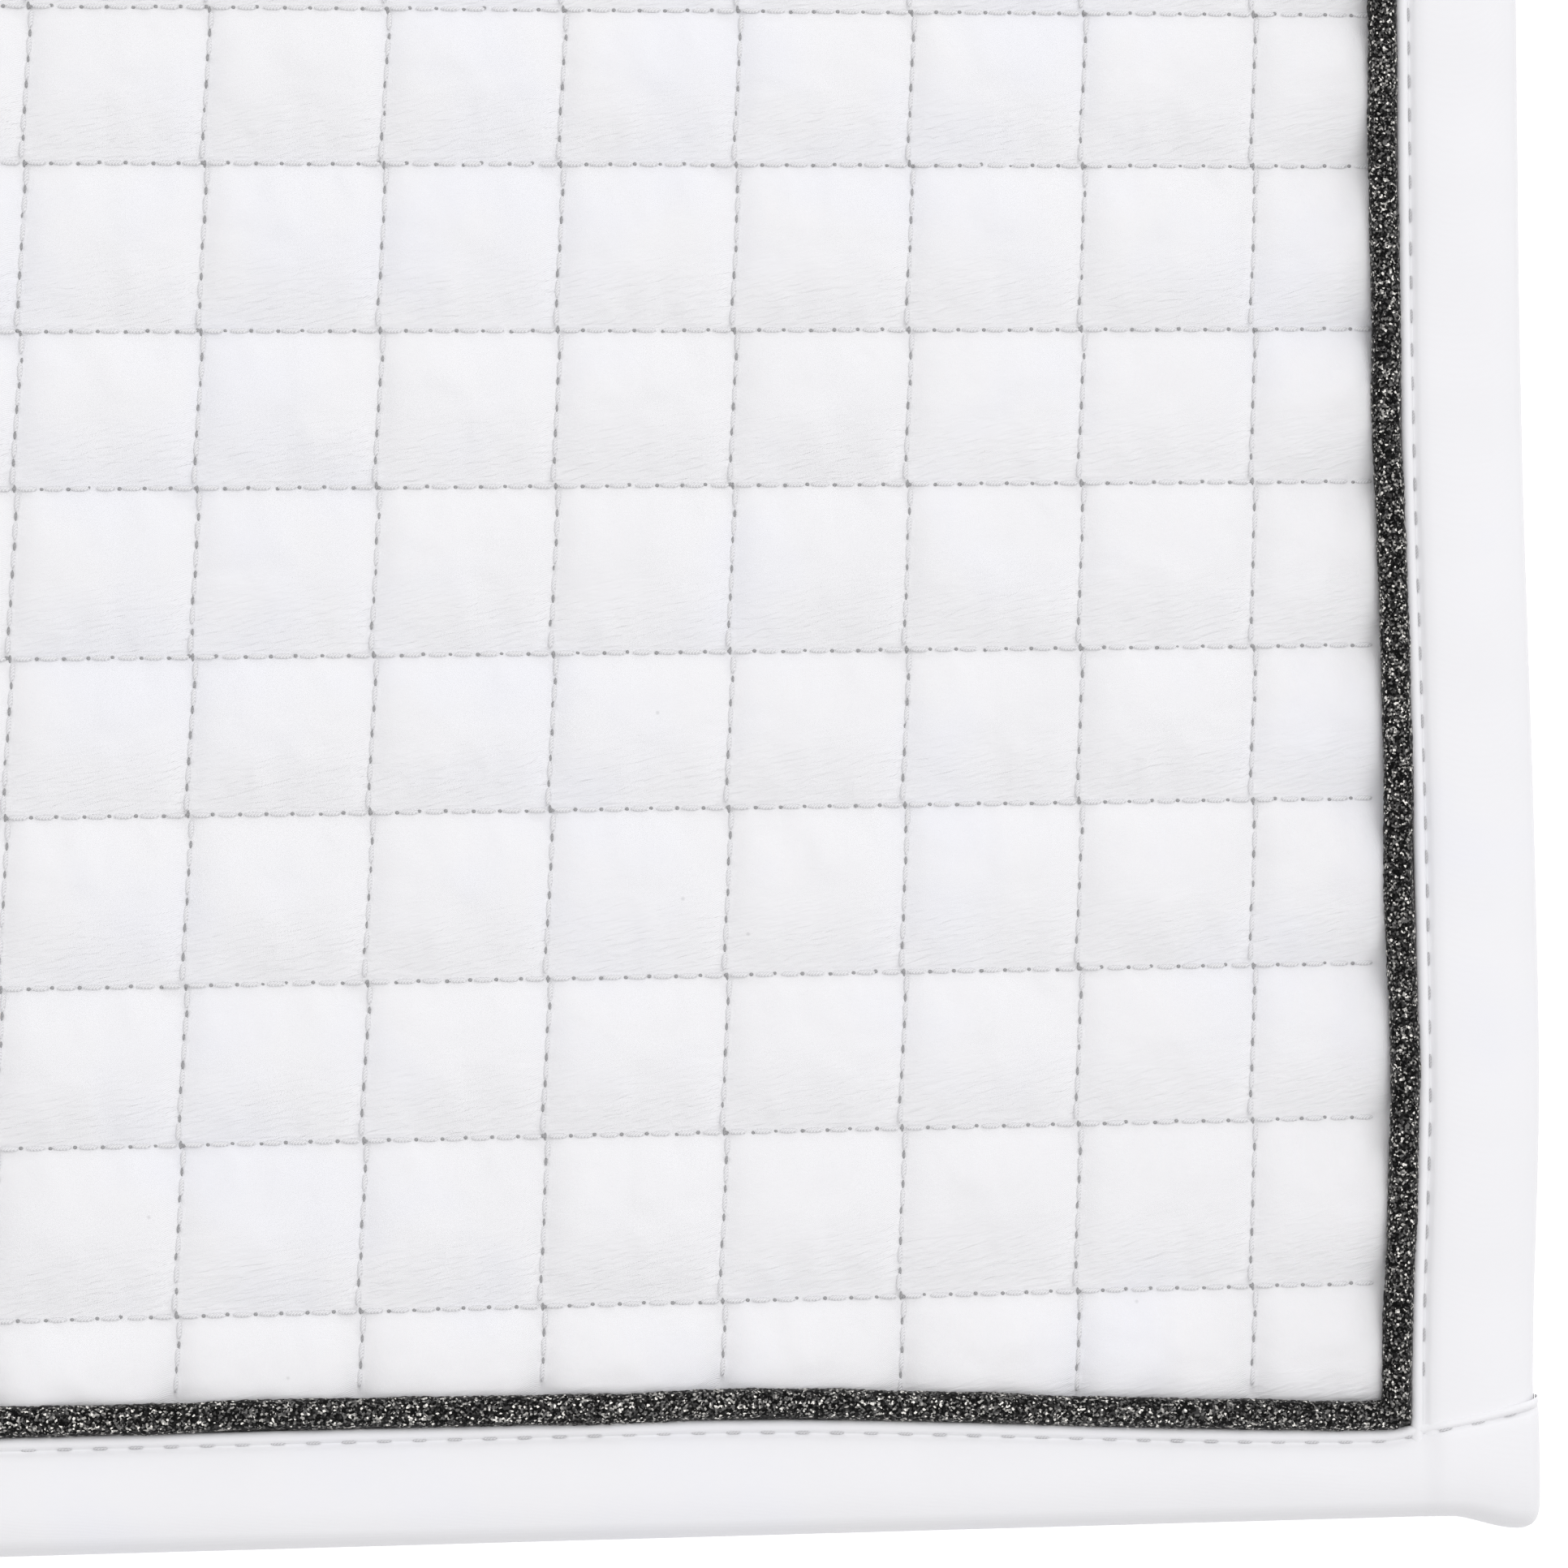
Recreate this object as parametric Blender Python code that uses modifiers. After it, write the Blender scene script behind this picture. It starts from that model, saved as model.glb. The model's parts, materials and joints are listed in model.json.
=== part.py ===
"""Quilted dressage saddle pad, standing as a tent on the lower edges of its two flaps.

X runs along the spine towards the horse's tail, the near (left) flap is on the -Y side, the off
(right) flap is on the +Y side, and the lower edges stand on Z = 0. A flap is drawn in its own
flat frame: x along the spine, v down the flap from the fold line, and w out from the plane on
which the two flaps fold together.
"""
import math

import bmesh
import bpy
from mathutils import Vector

# Outline of one flap (metres)
SPINE_LENGTH = 0.600
BOTTOM_LENGTH = 0.655
DROP = 0.540
REAR_X = BOTTOM_LENGTH / 2
SPINE_FRONT_X = REAR_X - SPINE_LENGTH
BOTTOM_FRONT_X = REAR_X - BOTTOM_LENGTH
FRONT_BULGE_X = SPINE_FRONT_X - 0.050
FRONT_BULGE_V = 0.38 * DROP
HALF_ANGLE = math.radians(24.0)

# Layers of a flap, from the horse's side outwards
GAP = 0.0003
INNER_FACE = 0.0002
BINDING_THICKNESS = 0.0010
LINING_THICKNESS = 0.0008
FILLING_THICKNESS = 0.0080
COVER_THICKNESS = 0.0008
LINING_INNER = INNER_FACE + BINDING_THICKNESS + GAP
LINING_OUTER = LINING_INNER + LINING_THICKNESS
FILLING_INNER = LINING_OUTER + GAP
FILLING_OUTER = FILLING_INNER + FILLING_THICKNESS
COVER_OUTER = FILLING_OUTER + GAP + COVER_THICKNESS
BINDING_OUTER = COVER_OUTER + GAP + BINDING_THICKNESS

# Spine: the flap thins towards the seam, and two tapes cover the seam
SEAM_OFFSET = 0.003
SHOULDER_END = 0.024
SHOULDER_DROP = 0.0076
FILLING_TOP = 0.007
TAPE_REACH = 0.0165
TAPE_THICKNESS = 0.0008
RIDGE_RADIUS = 0.0056

# Edge binding and the piping beside it
BINDING_WIDTH = 0.0159
EDGE_CHAMFER = 0.0020
LAYER_INSET = 0.0026
FOOT_RISE = 0.0020
PIPING_RADIUS = 0.0023
PIPING_SLEEVE = 0.0005
PIPING_CORD_RADIUS = PIPING_RADIUS - PIPING_SLEEVE - GAP
PIPING_INSET = BINDING_WIDTH + GAP + PIPING_RADIUS
PIPING_HEIGHT = COVER_OUTER + GAP + PIPING_RADIUS

# Girth loop: a webbing band that the girth runs down through
LOOP_X = -0.080
LOOP_V = DROP - 0.085
LOOP_HALF_LENGTH = 0.055
LOOP_TAB = 0.014
LOOP_RAMP = 0.016
LOOP_WIDTH = 0.022
LOOP_STANDOFF = 0.0145
WEBBING_THICKNESS = 0.0014

# Saddle strap: webbing sewn down at its top end, closed with hook and loop at its free end
STRAP_X = -0.205
STRAP_AXIS_V = 0.120
STRAP_LENGTH = 0.105
STRAP_WIDTH = 0.025
STRAP_RAMP_START = 0.012
STRAP_RAMP_END = 0.040
PATCH_THICKNESS = 0.0012
PATCH_WIDTH = 0.023
PATCH_LENGTH = 0.050
ANCHOR_LENGTH = 0.026
ANCHOR_WIDTH = 0.029
ANCHOR_CLEARANCE = 0.002
STRAP_AXIS_W = COVER_OUTER + GAP + PATCH_THICKNESS + GAP + WEBBING_THICKNESS / 2
STRAP_LIFT = PATCH_THICKNESS + GAP

# The lower edge is worn to a narrow level foot, which stands on Z = 0
FOLD_Z = (DROP - FOOT_RISE) * math.cos(HALF_ANGLE) - INNER_FACE * math.sin(HALF_ANGLE)

NEAR, OFF = -1, 1

# Colour, roughness, metallic
COVER_LOOK = ((0.87, 0.87, 0.89, 1.0), 0.55, 0.0)
LINING_LOOK = ((0.86, 0.86, 0.87, 1.0), 0.80, 0.0)
FILLING_LOOK = ((0.92, 0.92, 0.90, 1.0), 0.95, 0.0)
BINDING_LOOK = ((0.90, 0.90, 0.92, 1.0), 0.50, 0.0)
GLITTER_LOOK = ((0.06, 0.06, 0.06, 1.0), 0.35, 0.6)
CORD_LOOK = ((0.80, 0.79, 0.76, 1.0), 0.90, 0.0)
WEBBING_LOOK = ((0.86, 0.86, 0.87, 1.0), 0.70, 0.0)
PATCH_LOOK = ((0.80, 0.80, 0.80, 1.0), 0.95, 0.0)


def clear_scene():
    for item in list(bpy.data.objects):
        bpy.data.objects.remove(item, do_unlink=True)


def smooth(t):
    t = min(max(t, 0.0), 1.0)
    return t * t * (3.0 - 2.0 * t)


def shoulder(v):
    """How far the outer layers sink towards the seam at a distance v down the flap."""
    return SHOULDER_DROP * (1.0 - smooth((v - SEAM_OFFSET) / (SHOULDER_END - SEAM_OFFSET)))


def front_edge(v):
    """The front edge's x at v: a bowed edge from the withers to the lower front corner."""
    low, high = 0.0, 1.0
    for _ in range(40):
        t = (low + high) / 2
        at = 2 * t * (1 - t) * FRONT_BULGE_V + t * t * DROP
        low, high = (t, high) if at < v else (low, t)
    t = (low + high) / 2
    return (1 - t) ** 2 * SPINE_FRONT_X + 2 * t * (1 - t) * FRONT_BULGE_X + t * t * BOTTOM_FRONT_X


def rear_edge(v):
    return REAR_X


def spread(start, end, count):
    return [start + (end - start) * n / count for n in range(count + 1)]


def shoulder_steps(start=SEAM_OFFSET):
    return spread(start, SHOULDER_END, 4)


def local(side, x, v, w):
    """A point of a flap's flat frame in the coordinates of that flap's empty."""
    return Vector((x, side * w, -v))


def world(side, x, v, w):
    """The same point in the pad's own frame, with the flap leaning at rest."""
    across = v * math.sin(HALF_ANGLE) + w * math.cos(HALF_ANGLE)
    up = FOLD_Z - v * math.cos(HALF_ANGLE) + w * math.sin(HALF_ANGLE)
    return Vector((x, side * across, up))


def add_material(item, look):
    colour, roughness, metallic = look
    material = bpy.data.materials.new(item.name)
    material.use_nodes = True
    shader = material.node_tree.nodes["Principled BSDF"]
    shader.inputs["Base Color"].default_value = colour
    shader.inputs["Roughness"].default_value = roughness
    shader.inputs["Metallic"].default_value = metallic
    item.data.materials.append(material)


def add_object(name, data, parent, look):
    item = bpy.data.objects.new(name, data)
    bpy.data.collections["saddle_pad"].objects.link(item)
    item.parent = parent
    add_material(item, look)
    return item


def add_empty(name, location, tilt=0.0, parent=None):
    empty = bpy.data.objects.new(name, None)
    bpy.data.collections["saddle_pad"].objects.link(empty)
    empty.location = location
    empty.rotation_euler.x = tilt
    empty.parent = parent
    return empty


def sheet(name, rows, thickness, outside, parent, look):
    """Fabric of one thickness behind an open surface, whose rows are lists of points."""
    bm = bmesh.new()
    grid = [[bm.verts.new(point) for point in row] for row in rows]
    for upper, lower in zip(grid, grid[1:]):
        for n in range(len(upper) - 1):
            bm.faces.new((upper[n], upper[n + 1], lower[n + 1], lower[n]))
    bm.normal_update()
    bm.faces.ensure_lookup_table()
    if bm.faces[0].normal.dot(outside) < 0:
        bmesh.ops.reverse_faces(bm, faces=bm.faces)
    mesh = bpy.data.meshes.new(name)
    bm.to_mesh(mesh)
    bm.free()
    item = add_object(name, mesh, parent, look)
    solidify = item.modifiers.new("thickness", "SOLIDIFY")
    solidify.thickness = thickness
    solidify.offset = -1.0
    solidify.use_even_offset = True
    return item


def loft(name, rings, parent, look):
    """A closed body through a row of rings that each have the same number of points."""
    bm = bmesh.new()
    loops = [[bm.verts.new(point) for point in ring] for ring in rings]
    for upper, lower in zip(loops, loops[1:]):
        for n in range(len(upper)):
            after = (n + 1) % len(upper)
            bm.faces.new((upper[n], upper[after], lower[after], lower[n]))
    bm.faces.new(loops[0])
    bm.faces.new(loops[-1])
    bmesh.ops.recalc_face_normals(bm, faces=bm.faces)
    mesh = bpy.data.meshes.new(name)
    bm.to_mesh(mesh)
    bm.free()
    return add_object(name, mesh, parent, look)


def slab(name, corner, size, parent, look):
    """A flat patch from its corner and size, each in its parent's coordinates."""
    bm = bmesh.new()
    bmesh.ops.create_cube(bm, size=1.0)
    middle = Vector(corner) + Vector(size) / 2
    for vert in bm.verts:
        vert.co = middle + Vector([a * b for a, b in zip(vert.co, size)])
    bm.normal_update()
    bmesh.ops.recalc_face_normals(bm, faces=bm.faces)
    mesh = bpy.data.meshes.new(name)
    bm.to_mesh(mesh)
    bm.free()
    return add_object(name, mesh, parent, look)


def tube(name, points, radius, parent, look, wall=None):
    """A round cord through the points, or an open-ended sleeve where a wall is given."""
    curve = bpy.data.curves.new(name, "CURVE")
    curve.dimensions = "3D"
    curve.bevel_depth = radius
    curve.bevel_resolution = 2
    curve.use_fill_caps = wall is None
    spline = curve.splines.new("POLY")
    spline.points.add(len(points) - 1)
    for slot, point in zip(spline.points, points):
        slot.co = (*point, 1.0)
    item = add_object(name, curve, parent, look)
    if wall:
        solidify = item.modifiers.new("wall", "SOLIDIFY")
        solidify.thickness = wall
        solidify.offset = -1.0
    return item


def add_layers(prefix, side, flap):
    """Outer cover, filling and lining: the three layers that the quilting holds together."""
    steps = shoulder_steps() + spread(SHOULDER_END, DROP - LAYER_INSET, 12)[1:]
    out = Vector((0, side, 0))
    cover, lining = [], []
    for v in steps:
        ends = front_edge(v) + LAYER_INSET, REAR_X - LAYER_INSET
        cover.append([local(side, x, v, COVER_OUTER - shoulder(v)) for x in ends])
        lining.append([local(side, x, v, LINING_INNER) for x in ends])
    sheet(prefix + "outer_cover", cover, COVER_THICKNESS, out, flap, COVER_LOOK)
    sheet(prefix + "lining", lining, LINING_THICKNESS, -out, flap, LINING_LOOK)
    rings = []
    for v in shoulder_steps(FILLING_TOP) + steps[5:]:
        front, rear = front_edge(v) + LAYER_INSET, REAR_X - LAYER_INSET
        high = FILLING_OUTER - shoulder(v)
        corners = ((front, FILLING_INNER), (rear, FILLING_INNER), (rear, high), (front, high))
        rings.append([local(side, x, v, w) for x, w in corners])
    loft(prefix + "filling", rings, flap, FILLING_LOOK)


def binding_section(drop=0.0):
    """The folded binding across an edge, as (distance in from the edge, w)."""
    outer = BINDING_OUTER - drop
    return [
        (BINDING_WIDTH, outer),
        (EDGE_CHAMFER, outer),
        (0.0, outer - EDGE_CHAMFER),
        (0.0, INNER_FACE + min(EDGE_CHAMFER, outer - EDGE_CHAMFER - INNER_FACE - 0.0004)),
        (EDGE_CHAMFER, INNER_FACE),
        (BINDING_WIDTH, INNER_FACE),
    ]


def foot_section():
    """The binding across the lower edge, with the level foot that stands on the ground."""
    foot_top = INNER_FACE + FOOT_RISE / math.tan(HALF_ANGLE)
    return [
        (BINDING_WIDTH, BINDING_OUTER),
        (EDGE_CHAMFER, BINDING_OUTER),
        (0.0, BINDING_OUTER - EDGE_CHAMFER),
        (0.0, foot_top),
        (FOOT_RISE, INNER_FACE),
        (BINDING_WIDTH, INNER_FACE),
    ]


def add_side_binding(name, side, flap, edge, inward, steps):
    """A binding that runs down the front or rear edge and ends on the lower binding."""
    rows = []
    for v in steps:
        section = binding_section(shoulder(v))
        rows.append([local(side, edge(v) + inward * inset, v, w) for inset, w in section])
    sheet(name, rows, BINDING_THICKNESS, Vector((0, side, 0)), flap, BINDING_LOOK)


def add_bindings(prefix, side, flap):
    end = DROP - BINDING_WIDTH - GAP
    rear_steps = shoulder_steps() + [end]
    front_steps = shoulder_steps() + spread(SHOULDER_END, end, 12)[1:]
    add_side_binding(prefix + "rear_binding", side, flap, rear_edge, -1, rear_steps)
    add_side_binding(prefix + "front_binding", side, flap, front_edge, 1, front_steps)
    rows = []
    for x in (BOTTOM_FRONT_X, REAR_X):
        rows.append([local(side, x, DROP - inset, w) for inset, w in foot_section()])
    out = Vector((0, side, 0))
    sheet(prefix + "bottom_binding", rows, BINDING_THICKNESS, out, flap, BINDING_LOOK)


def add_piping(name, points, flap):
    """A filler cord in its glitter sleeve."""
    tube(name + "_sleeve", points, PIPING_RADIUS, flap, GLITTER_LOOK, wall=PIPING_SLEEVE)
    tube(name + "_cord", points, PIPING_CORD_RADIUS, flap, CORD_LOOK)


def add_pipings(prefix, side, flap):
    """Piping inside the bindings; the side pipings run down past the lower one's ends."""
    top = SEAM_OFFSET + PIPING_RADIUS
    end = DROP - BINDING_WIDTH - 2 * GAP
    rear_steps = shoulder_steps(top) + [end]
    front_steps = shoulder_steps(top) + spread(SHOULDER_END, end, 16)[1:]
    for name, edge, inward, steps in (
        ("rear_piping", rear_edge, -1, rear_steps),
        ("front_piping", front_edge, 1, front_steps),
    ):
        points = [
            local(side, edge(v) + inward * PIPING_INSET, v, PIPING_HEIGHT - shoulder(v))
            for v in steps
        ]
        add_piping(prefix + name, points, flap)
    beside = PIPING_INSET + PIPING_RADIUS + 2 * GAP
    v = DROP - PIPING_INSET
    ends = front_edge(v) + beside, REAR_X - beside
    points = [local(side, x, v, PIPING_HEIGHT) for x in ends]
    add_piping(prefix + "bottom_piping", points, flap)


def add_girth_loop(prefix, side, flap):
    """A band sewn down at both ends, standing off the flap between them."""
    base = COVER_OUTER + GAP + WEBBING_THICKNESS
    flat = LOOP_HALF_LENGTH - LOOP_TAB
    half = [(LOOP_HALF_LENGTH, 0.0)]
    half += [(flat - LOOP_RAMP * t, LOOP_STANDOFF * smooth(t)) for t in spread(0.0, 1.0, 4)]
    profile = [(-x, lift) for x, lift in half] + [(x, lift) for x, lift in reversed(half)]
    rows = []
    for v in (LOOP_V - LOOP_WIDTH / 2, LOOP_V + LOOP_WIDTH / 2):
        rows.append([local(side, LOOP_X + x, v, base + lift) for x, lift in profile])
    out = Vector((0, side, 0))
    sheet(prefix + "girth_loop", rows, WEBBING_THICKNESS, out, flap, WEBBING_LOOK)


def add_saddle_strap(prefix, side, flap):
    """A strap that swings out from its sewn top end, with its hook and loop patches."""
    pivot = local(side, STRAP_X, STRAP_AXIS_V, STRAP_AXIS_W)
    strap = add_empty(prefix + "strap_pivot", pivot, parent=flap)
    path = (
        (0.001, 0.0),
        (STRAP_RAMP_START, 0.0),
        (STRAP_RAMP_END, STRAP_LIFT),
        (STRAP_LENGTH, STRAP_LIFT),
    )
    rows = []
    for v, lift in path:
        w = lift + WEBBING_THICKNESS / 2
        rows.append([local(side, x, v, w) for x in (-STRAP_WIDTH / 2, STRAP_WIDTH / 2)])
    out = Vector((0, side, 0))
    sheet(prefix + "strap_webbing", rows, WEBBING_THICKNESS, out, strap, WEBBING_LOOK)

    end = STRAP_LENGTH - 0.002
    size = Vector((PATCH_WIDTH, side * PATCH_THICKNESS, PATCH_LENGTH))
    hook_w = STRAP_LIFT - WEBBING_THICKNESS / 2 - GAP - PATCH_THICKNESS
    hook = local(side, -PATCH_WIDTH / 2, end, hook_w)
    slab(prefix + "strap_hook_patch", hook, size, strap, PATCH_LOOK)
    catch = local(side, STRAP_X - PATCH_WIDTH / 2, STRAP_AXIS_V + end, COVER_OUTER + GAP)
    slab(prefix + "loop_patch", catch, size, flap, PATCH_LOOK)

    anchor_end = STRAP_AXIS_V - ANCHOR_CLEARANCE
    anchor = local(side, STRAP_X - ANCHOR_WIDTH / 2, anchor_end, COVER_OUTER + GAP)
    size = Vector((ANCHOR_WIDTH, side * PATCH_THICKNESS, ANCHOR_LENGTH))
    slab(prefix + "strap_anchor", anchor, size, flap, WEBBING_LOOK)


def add_flap(prefix, side):
    flap = add_empty(prefix + "flap_fold", (0, 0, FOLD_Z), tilt=side * HALF_ANGLE)
    add_layers(prefix, side, flap)
    add_bindings(prefix, side, flap)
    add_pipings(prefix, side, flap)
    add_girth_loop(prefix, side, flap)
    add_saddle_strap(prefix, side, flap)


def add_spine_tapes():
    """One tape over the seam on the saddle's side, and one under it on the horse's side."""
    beside = PIPING_INSET + PIPING_RADIUS + GAP
    ends = SPINE_FRONT_X + beside - 0.002, REAR_X - beside
    lower = spread(TAPE_REACH, SEAM_OFFSET + 0.001, 4)
    cover = [(v, COVER_OUTER + GAP + TAPE_THICKNESS - shoulder(v)) for v in lower]
    centre = Vector((0, 0, FOLD_Z - SEAM_OFFSET + TAPE_THICKNESS))
    over = [
        centre + RIDGE_RADIUS * Vector((0, math.sin(turn), math.cos(turn)))
        for turn in spread(-math.radians(60), math.radians(60), 4)
    ]
    rows = []
    for x in ends:
        row = [world(NEAR, x, v, w) for v, w in cover]
        row += [point + Vector((x, 0, 0)) for point in over]
        row += [world(OFF, x, v, w) for v, w in reversed(cover)]
        rows.append(row)
    sheet("spine_outer_tape", rows, TAPE_THICKNESS, Vector((0, -1, 0)), None, BINDING_LOOK)

    reach = (TAPE_REACH, SEAM_OFFSET + 0.001)
    rows = []
    for x in ends:
        row = [world(NEAR, x, v, INNER_FACE) for v in reach]
        row += [world(OFF, x, v, INNER_FACE) for v in reversed(reach)]
        rows.append(row)
    sheet("spine_inner_tape", rows, TAPE_THICKNESS, Vector((0, 1, 0)), None, BINDING_LOOK)


def build_pad():
    clear_scene()
    parts = bpy.data.collections.new("saddle_pad")
    bpy.context.scene.collection.children.link(parts)
    add_flap("near_", NEAR)
    add_flap("off_", OFF)
    add_spine_tapes()


build_pad()
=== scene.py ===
"""The quilted saddle pad's looks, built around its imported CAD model.

A flap is drawn in its own flat frame: x along the spine towards the tail, v down the flap from the
fold line, and w out from the plane on which the two flaps fold together.  All lengths are metres.
"""

import json
import math

import bmesh
import bpy
import numpy as np
from mathutils import Matrix, Vector


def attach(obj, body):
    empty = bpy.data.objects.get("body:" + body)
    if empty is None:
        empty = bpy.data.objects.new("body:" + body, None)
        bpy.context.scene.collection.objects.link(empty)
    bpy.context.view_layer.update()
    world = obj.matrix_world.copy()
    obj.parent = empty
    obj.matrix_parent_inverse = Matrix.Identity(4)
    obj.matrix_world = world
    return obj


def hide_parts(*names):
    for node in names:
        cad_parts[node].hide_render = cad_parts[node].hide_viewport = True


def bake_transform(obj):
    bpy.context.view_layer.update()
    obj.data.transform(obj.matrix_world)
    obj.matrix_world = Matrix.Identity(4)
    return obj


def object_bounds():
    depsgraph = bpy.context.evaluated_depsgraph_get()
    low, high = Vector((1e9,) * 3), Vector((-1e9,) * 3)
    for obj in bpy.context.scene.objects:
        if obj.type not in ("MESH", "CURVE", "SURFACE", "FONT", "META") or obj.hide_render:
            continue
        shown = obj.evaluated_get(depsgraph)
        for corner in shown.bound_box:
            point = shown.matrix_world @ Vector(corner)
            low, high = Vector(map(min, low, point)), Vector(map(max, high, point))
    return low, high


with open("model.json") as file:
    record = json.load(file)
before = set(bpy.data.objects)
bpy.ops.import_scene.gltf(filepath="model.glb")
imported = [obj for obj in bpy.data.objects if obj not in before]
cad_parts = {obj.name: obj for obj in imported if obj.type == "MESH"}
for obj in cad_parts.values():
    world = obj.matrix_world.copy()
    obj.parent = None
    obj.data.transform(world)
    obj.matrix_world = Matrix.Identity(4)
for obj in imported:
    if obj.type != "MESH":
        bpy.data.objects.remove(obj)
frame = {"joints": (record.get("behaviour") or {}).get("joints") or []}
CAD_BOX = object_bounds()

# The flaps' outline, as in the CAD model
NEAR, OFF = -1, 1
HALF_ANGLE = math.radians(24.0)
ARC_HALF = math.pi / 2 - HALF_ANGLE
DROP = 0.540
REAR_X = CAD_BOX[1].x
BOTTOM_FRONT_X = CAD_BOX[0].x
SPINE_FRONT_X = REAR_X - 0.600
FRONT_BULGE_X = SPINE_FRONT_X - 0.050
FRONT_BULGE_V = 0.38 * DROP
FOLD_Z = next(j for j in frame["joints"] if j["name"] == "spine_fold")["pos_m"][2]
TIP_DROP = 0.0020
HEM = DROP - TIP_DROP

# Layers
SEAM_OFFSET = 0.003
SHOULDER_END = 0.024
SHOULDER_DROP = 0.0076
BINDING_OUTER = 0.0130
INNER_FACE = 0.0002
TAPE_REACH = 0.0165
TAPE_THICKNESS = 0.0008
TUCK = 0.0012
COVER_SEAM = 0.0096
COVER_SEAM_DROP = 0.0054
COVER_PUFF = 0.0025
LINING_SEAM = 0.0030
LINING_SEAM_DROP = 0.0008
LINING_PUFF = 0.0024
LINING_UNDER_TAPE = 0.0012
MIDDLE = 0.0048
LAYER_INSET = 0.0026

# Quilting, measured from the rear lower corner
PITCH_X = 0.02518
PITCH_V = 0.02299
COLUMN_LEAN = -0.00075
ROW_RISE = -0.00016
COLUMN_FAN = 0.000047
CROSSING_X = REAR_X - 0.18928
CROSSING_V = HEM - 0.19417
ZIGZAG = 0.0009
SLIP = 1 / 12
ROW_SHIFT = 0.0004
SEAM_FILL = 0.0004
ROW_DIP = 0.00020
COLUMN_DIP = 0.0004
CREASE = 0.8
STITCHES_ACROSS = 7
STITCHES_DOWN = 6
COLUMNS = (-20, 8)
ROWS = (-16, 9)
FINE_FROM = -2
FINE_QUADS = (28, 24)
COARSE_QUADS = (12, 10)
PATCH_CELLS = (6, 5)

# Binding and piping
BINDING_WIDTH = 0.0169
STITCH_BACK = 0.00185
TAPE_WALL = 0.0009
SIDE_WIDTH = 0.0193
EDGE_BOW = 0.0019
EDGE_WAVE = 0.0003
PIPING_RADIUS = 0.0021
PIPING_HEIGHT = 0.0129
SIDE_UNEVEN = 0.00008
WAVE_LENGTH, WAVE_PEAK = 0.150, 0.085
NARROWED, NARROW_START, NARROW_SPAN = 0.0037, 0.020, 0.105
LAP_EXTRA, LAP_REACH, LAP_HEIGHT = 0.0040, 0.024, 0.0009

# The part of the near flap with a finer grid: how far it reaches in from the rear lower corner
FINE_SPAN = 0.235
FINE_X, FINE_V = REAR_X - FINE_SPAN, HEM - FINE_SPAN

# How far in from the lips the quilting starts to rise, and over what distance
COVER_CLEAR = (0.0018, 0.0024)
LINING_CLEAR = (0.0, 0.0050)

# How long the cloth simulation runs, and the largest sideways slip and crease taken from it
CLOTH_STEPS = 20
CLOTH_SLIP = 0.0007
CREASE_LIMIT = 0.3

# Half sizes of threads and of the dark pieces painted as shade in the needle holes: along, beside and out
ROW_THREAD = (0.00132, 0.00036, 0.00028)
COLUMN_THREAD = (0.00128, 0.00036, 0.00026)
ROW_HOLE_SHADE = (0.00029, 0.00027, 0.00016)
COLUMN_HOLE_SHADE = (0.00062, 0.00020, 0.00016)

# The columns' slant, the threads' rise on filled seams, and the holes' random shifts
COLUMN_SLANT = 0.06
THREAD_FILL = 0.00022
HOLE_SLIP, HOLE_SINK = 0.00022, 0.00006


# ---- geometry of the flaps

def smooth(t):
    t = np.clip(t, 0.0, 1.0)
    return t * t * (3.0 - 2.0 * t)


def shoulder(v, drop=SHOULDER_DROP):
    return drop * (1.0 - smooth((np.asarray(v) - SEAM_OFFSET) / (SHOULDER_END - SEAM_OFFSET)))


def front_edge(v):
    """The bowed front edge's x at v: a quadratic curve from the withers to the lower corner."""
    bend = DROP - 2 * FRONT_BULGE_V
    v = np.clip(v, 0.0, DROP)
    t = (np.sqrt(FRONT_BULGE_V ** 2 + bend * v) - FRONT_BULGE_V) / bend
    return (1 - t) ** 2 * SPINE_FRONT_X + 2 * t * (1 - t) * FRONT_BULGE_X + t * t * BOTTOM_FRONT_X


def rear_edge(v):
    """The rear edge bows out a little between the spine and the corner, in slow waves."""
    v = np.asarray(v)
    above = HEM - v
    bow = EDGE_BOW + EDGE_WAVE * np.cos(2 * np.pi * (above - WAVE_PEAK) / WAVE_LENGTH)
    return REAR_X + bow * smooth((above - 0.010) / 0.055) * smooth(v / 0.15)


def from_corner(x):
    """How far x is from the nearer lower corner, along the hem."""
    return np.minimum(REAR_X - x, x - BOTTOM_FRONT_X)


def corner_hang(x):
    """How much lower the hem hangs at the two corners."""
    return TIP_DROP * (1 - smooth((from_corner(x) - 0.0025) / 0.0105))


def narrowing(x):
    """How much narrower the lower binding gets as it nears a corner."""
    return NARROWED * (1 - smooth((from_corner(x) - NARROW_START) / NARROW_SPAN))


def lap_rise(x):
    """How much wider the lower binding is where it laps over the side bindings."""
    return LAP_EXTRA * np.clip(1 - from_corner(x) / LAP_REACH, 0, 1) ** 1.6


def lap_squeeze(x):
    """How much narrower the lower binding's rolled lip is where it laps over the side bindings."""
    return 1 - 0.35 * smooth((LAP_REACH - from_corner(x)) / 0.010)


def bottom_lip(x):
    """How far up from the hem the lower binding reaches at x."""
    return BINDING_WIDTH - narrowing(x) + lap_rise(x)


def place(side, x, v, w):
    """Points of a flap's flat frame in the pad's own frame."""
    x, v, w = np.broadcast_arrays(*(np.asarray(c, float) for c in (x, v, w)))
    across = v * math.sin(HALF_ANGLE) + w * math.cos(HALF_ANGLE)
    up = -v * math.cos(HALF_ANGLE) + w * math.sin(HALF_ANGLE)
    return np.stack([x, side * across, FOLD_Z + up], axis=-1)


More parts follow.
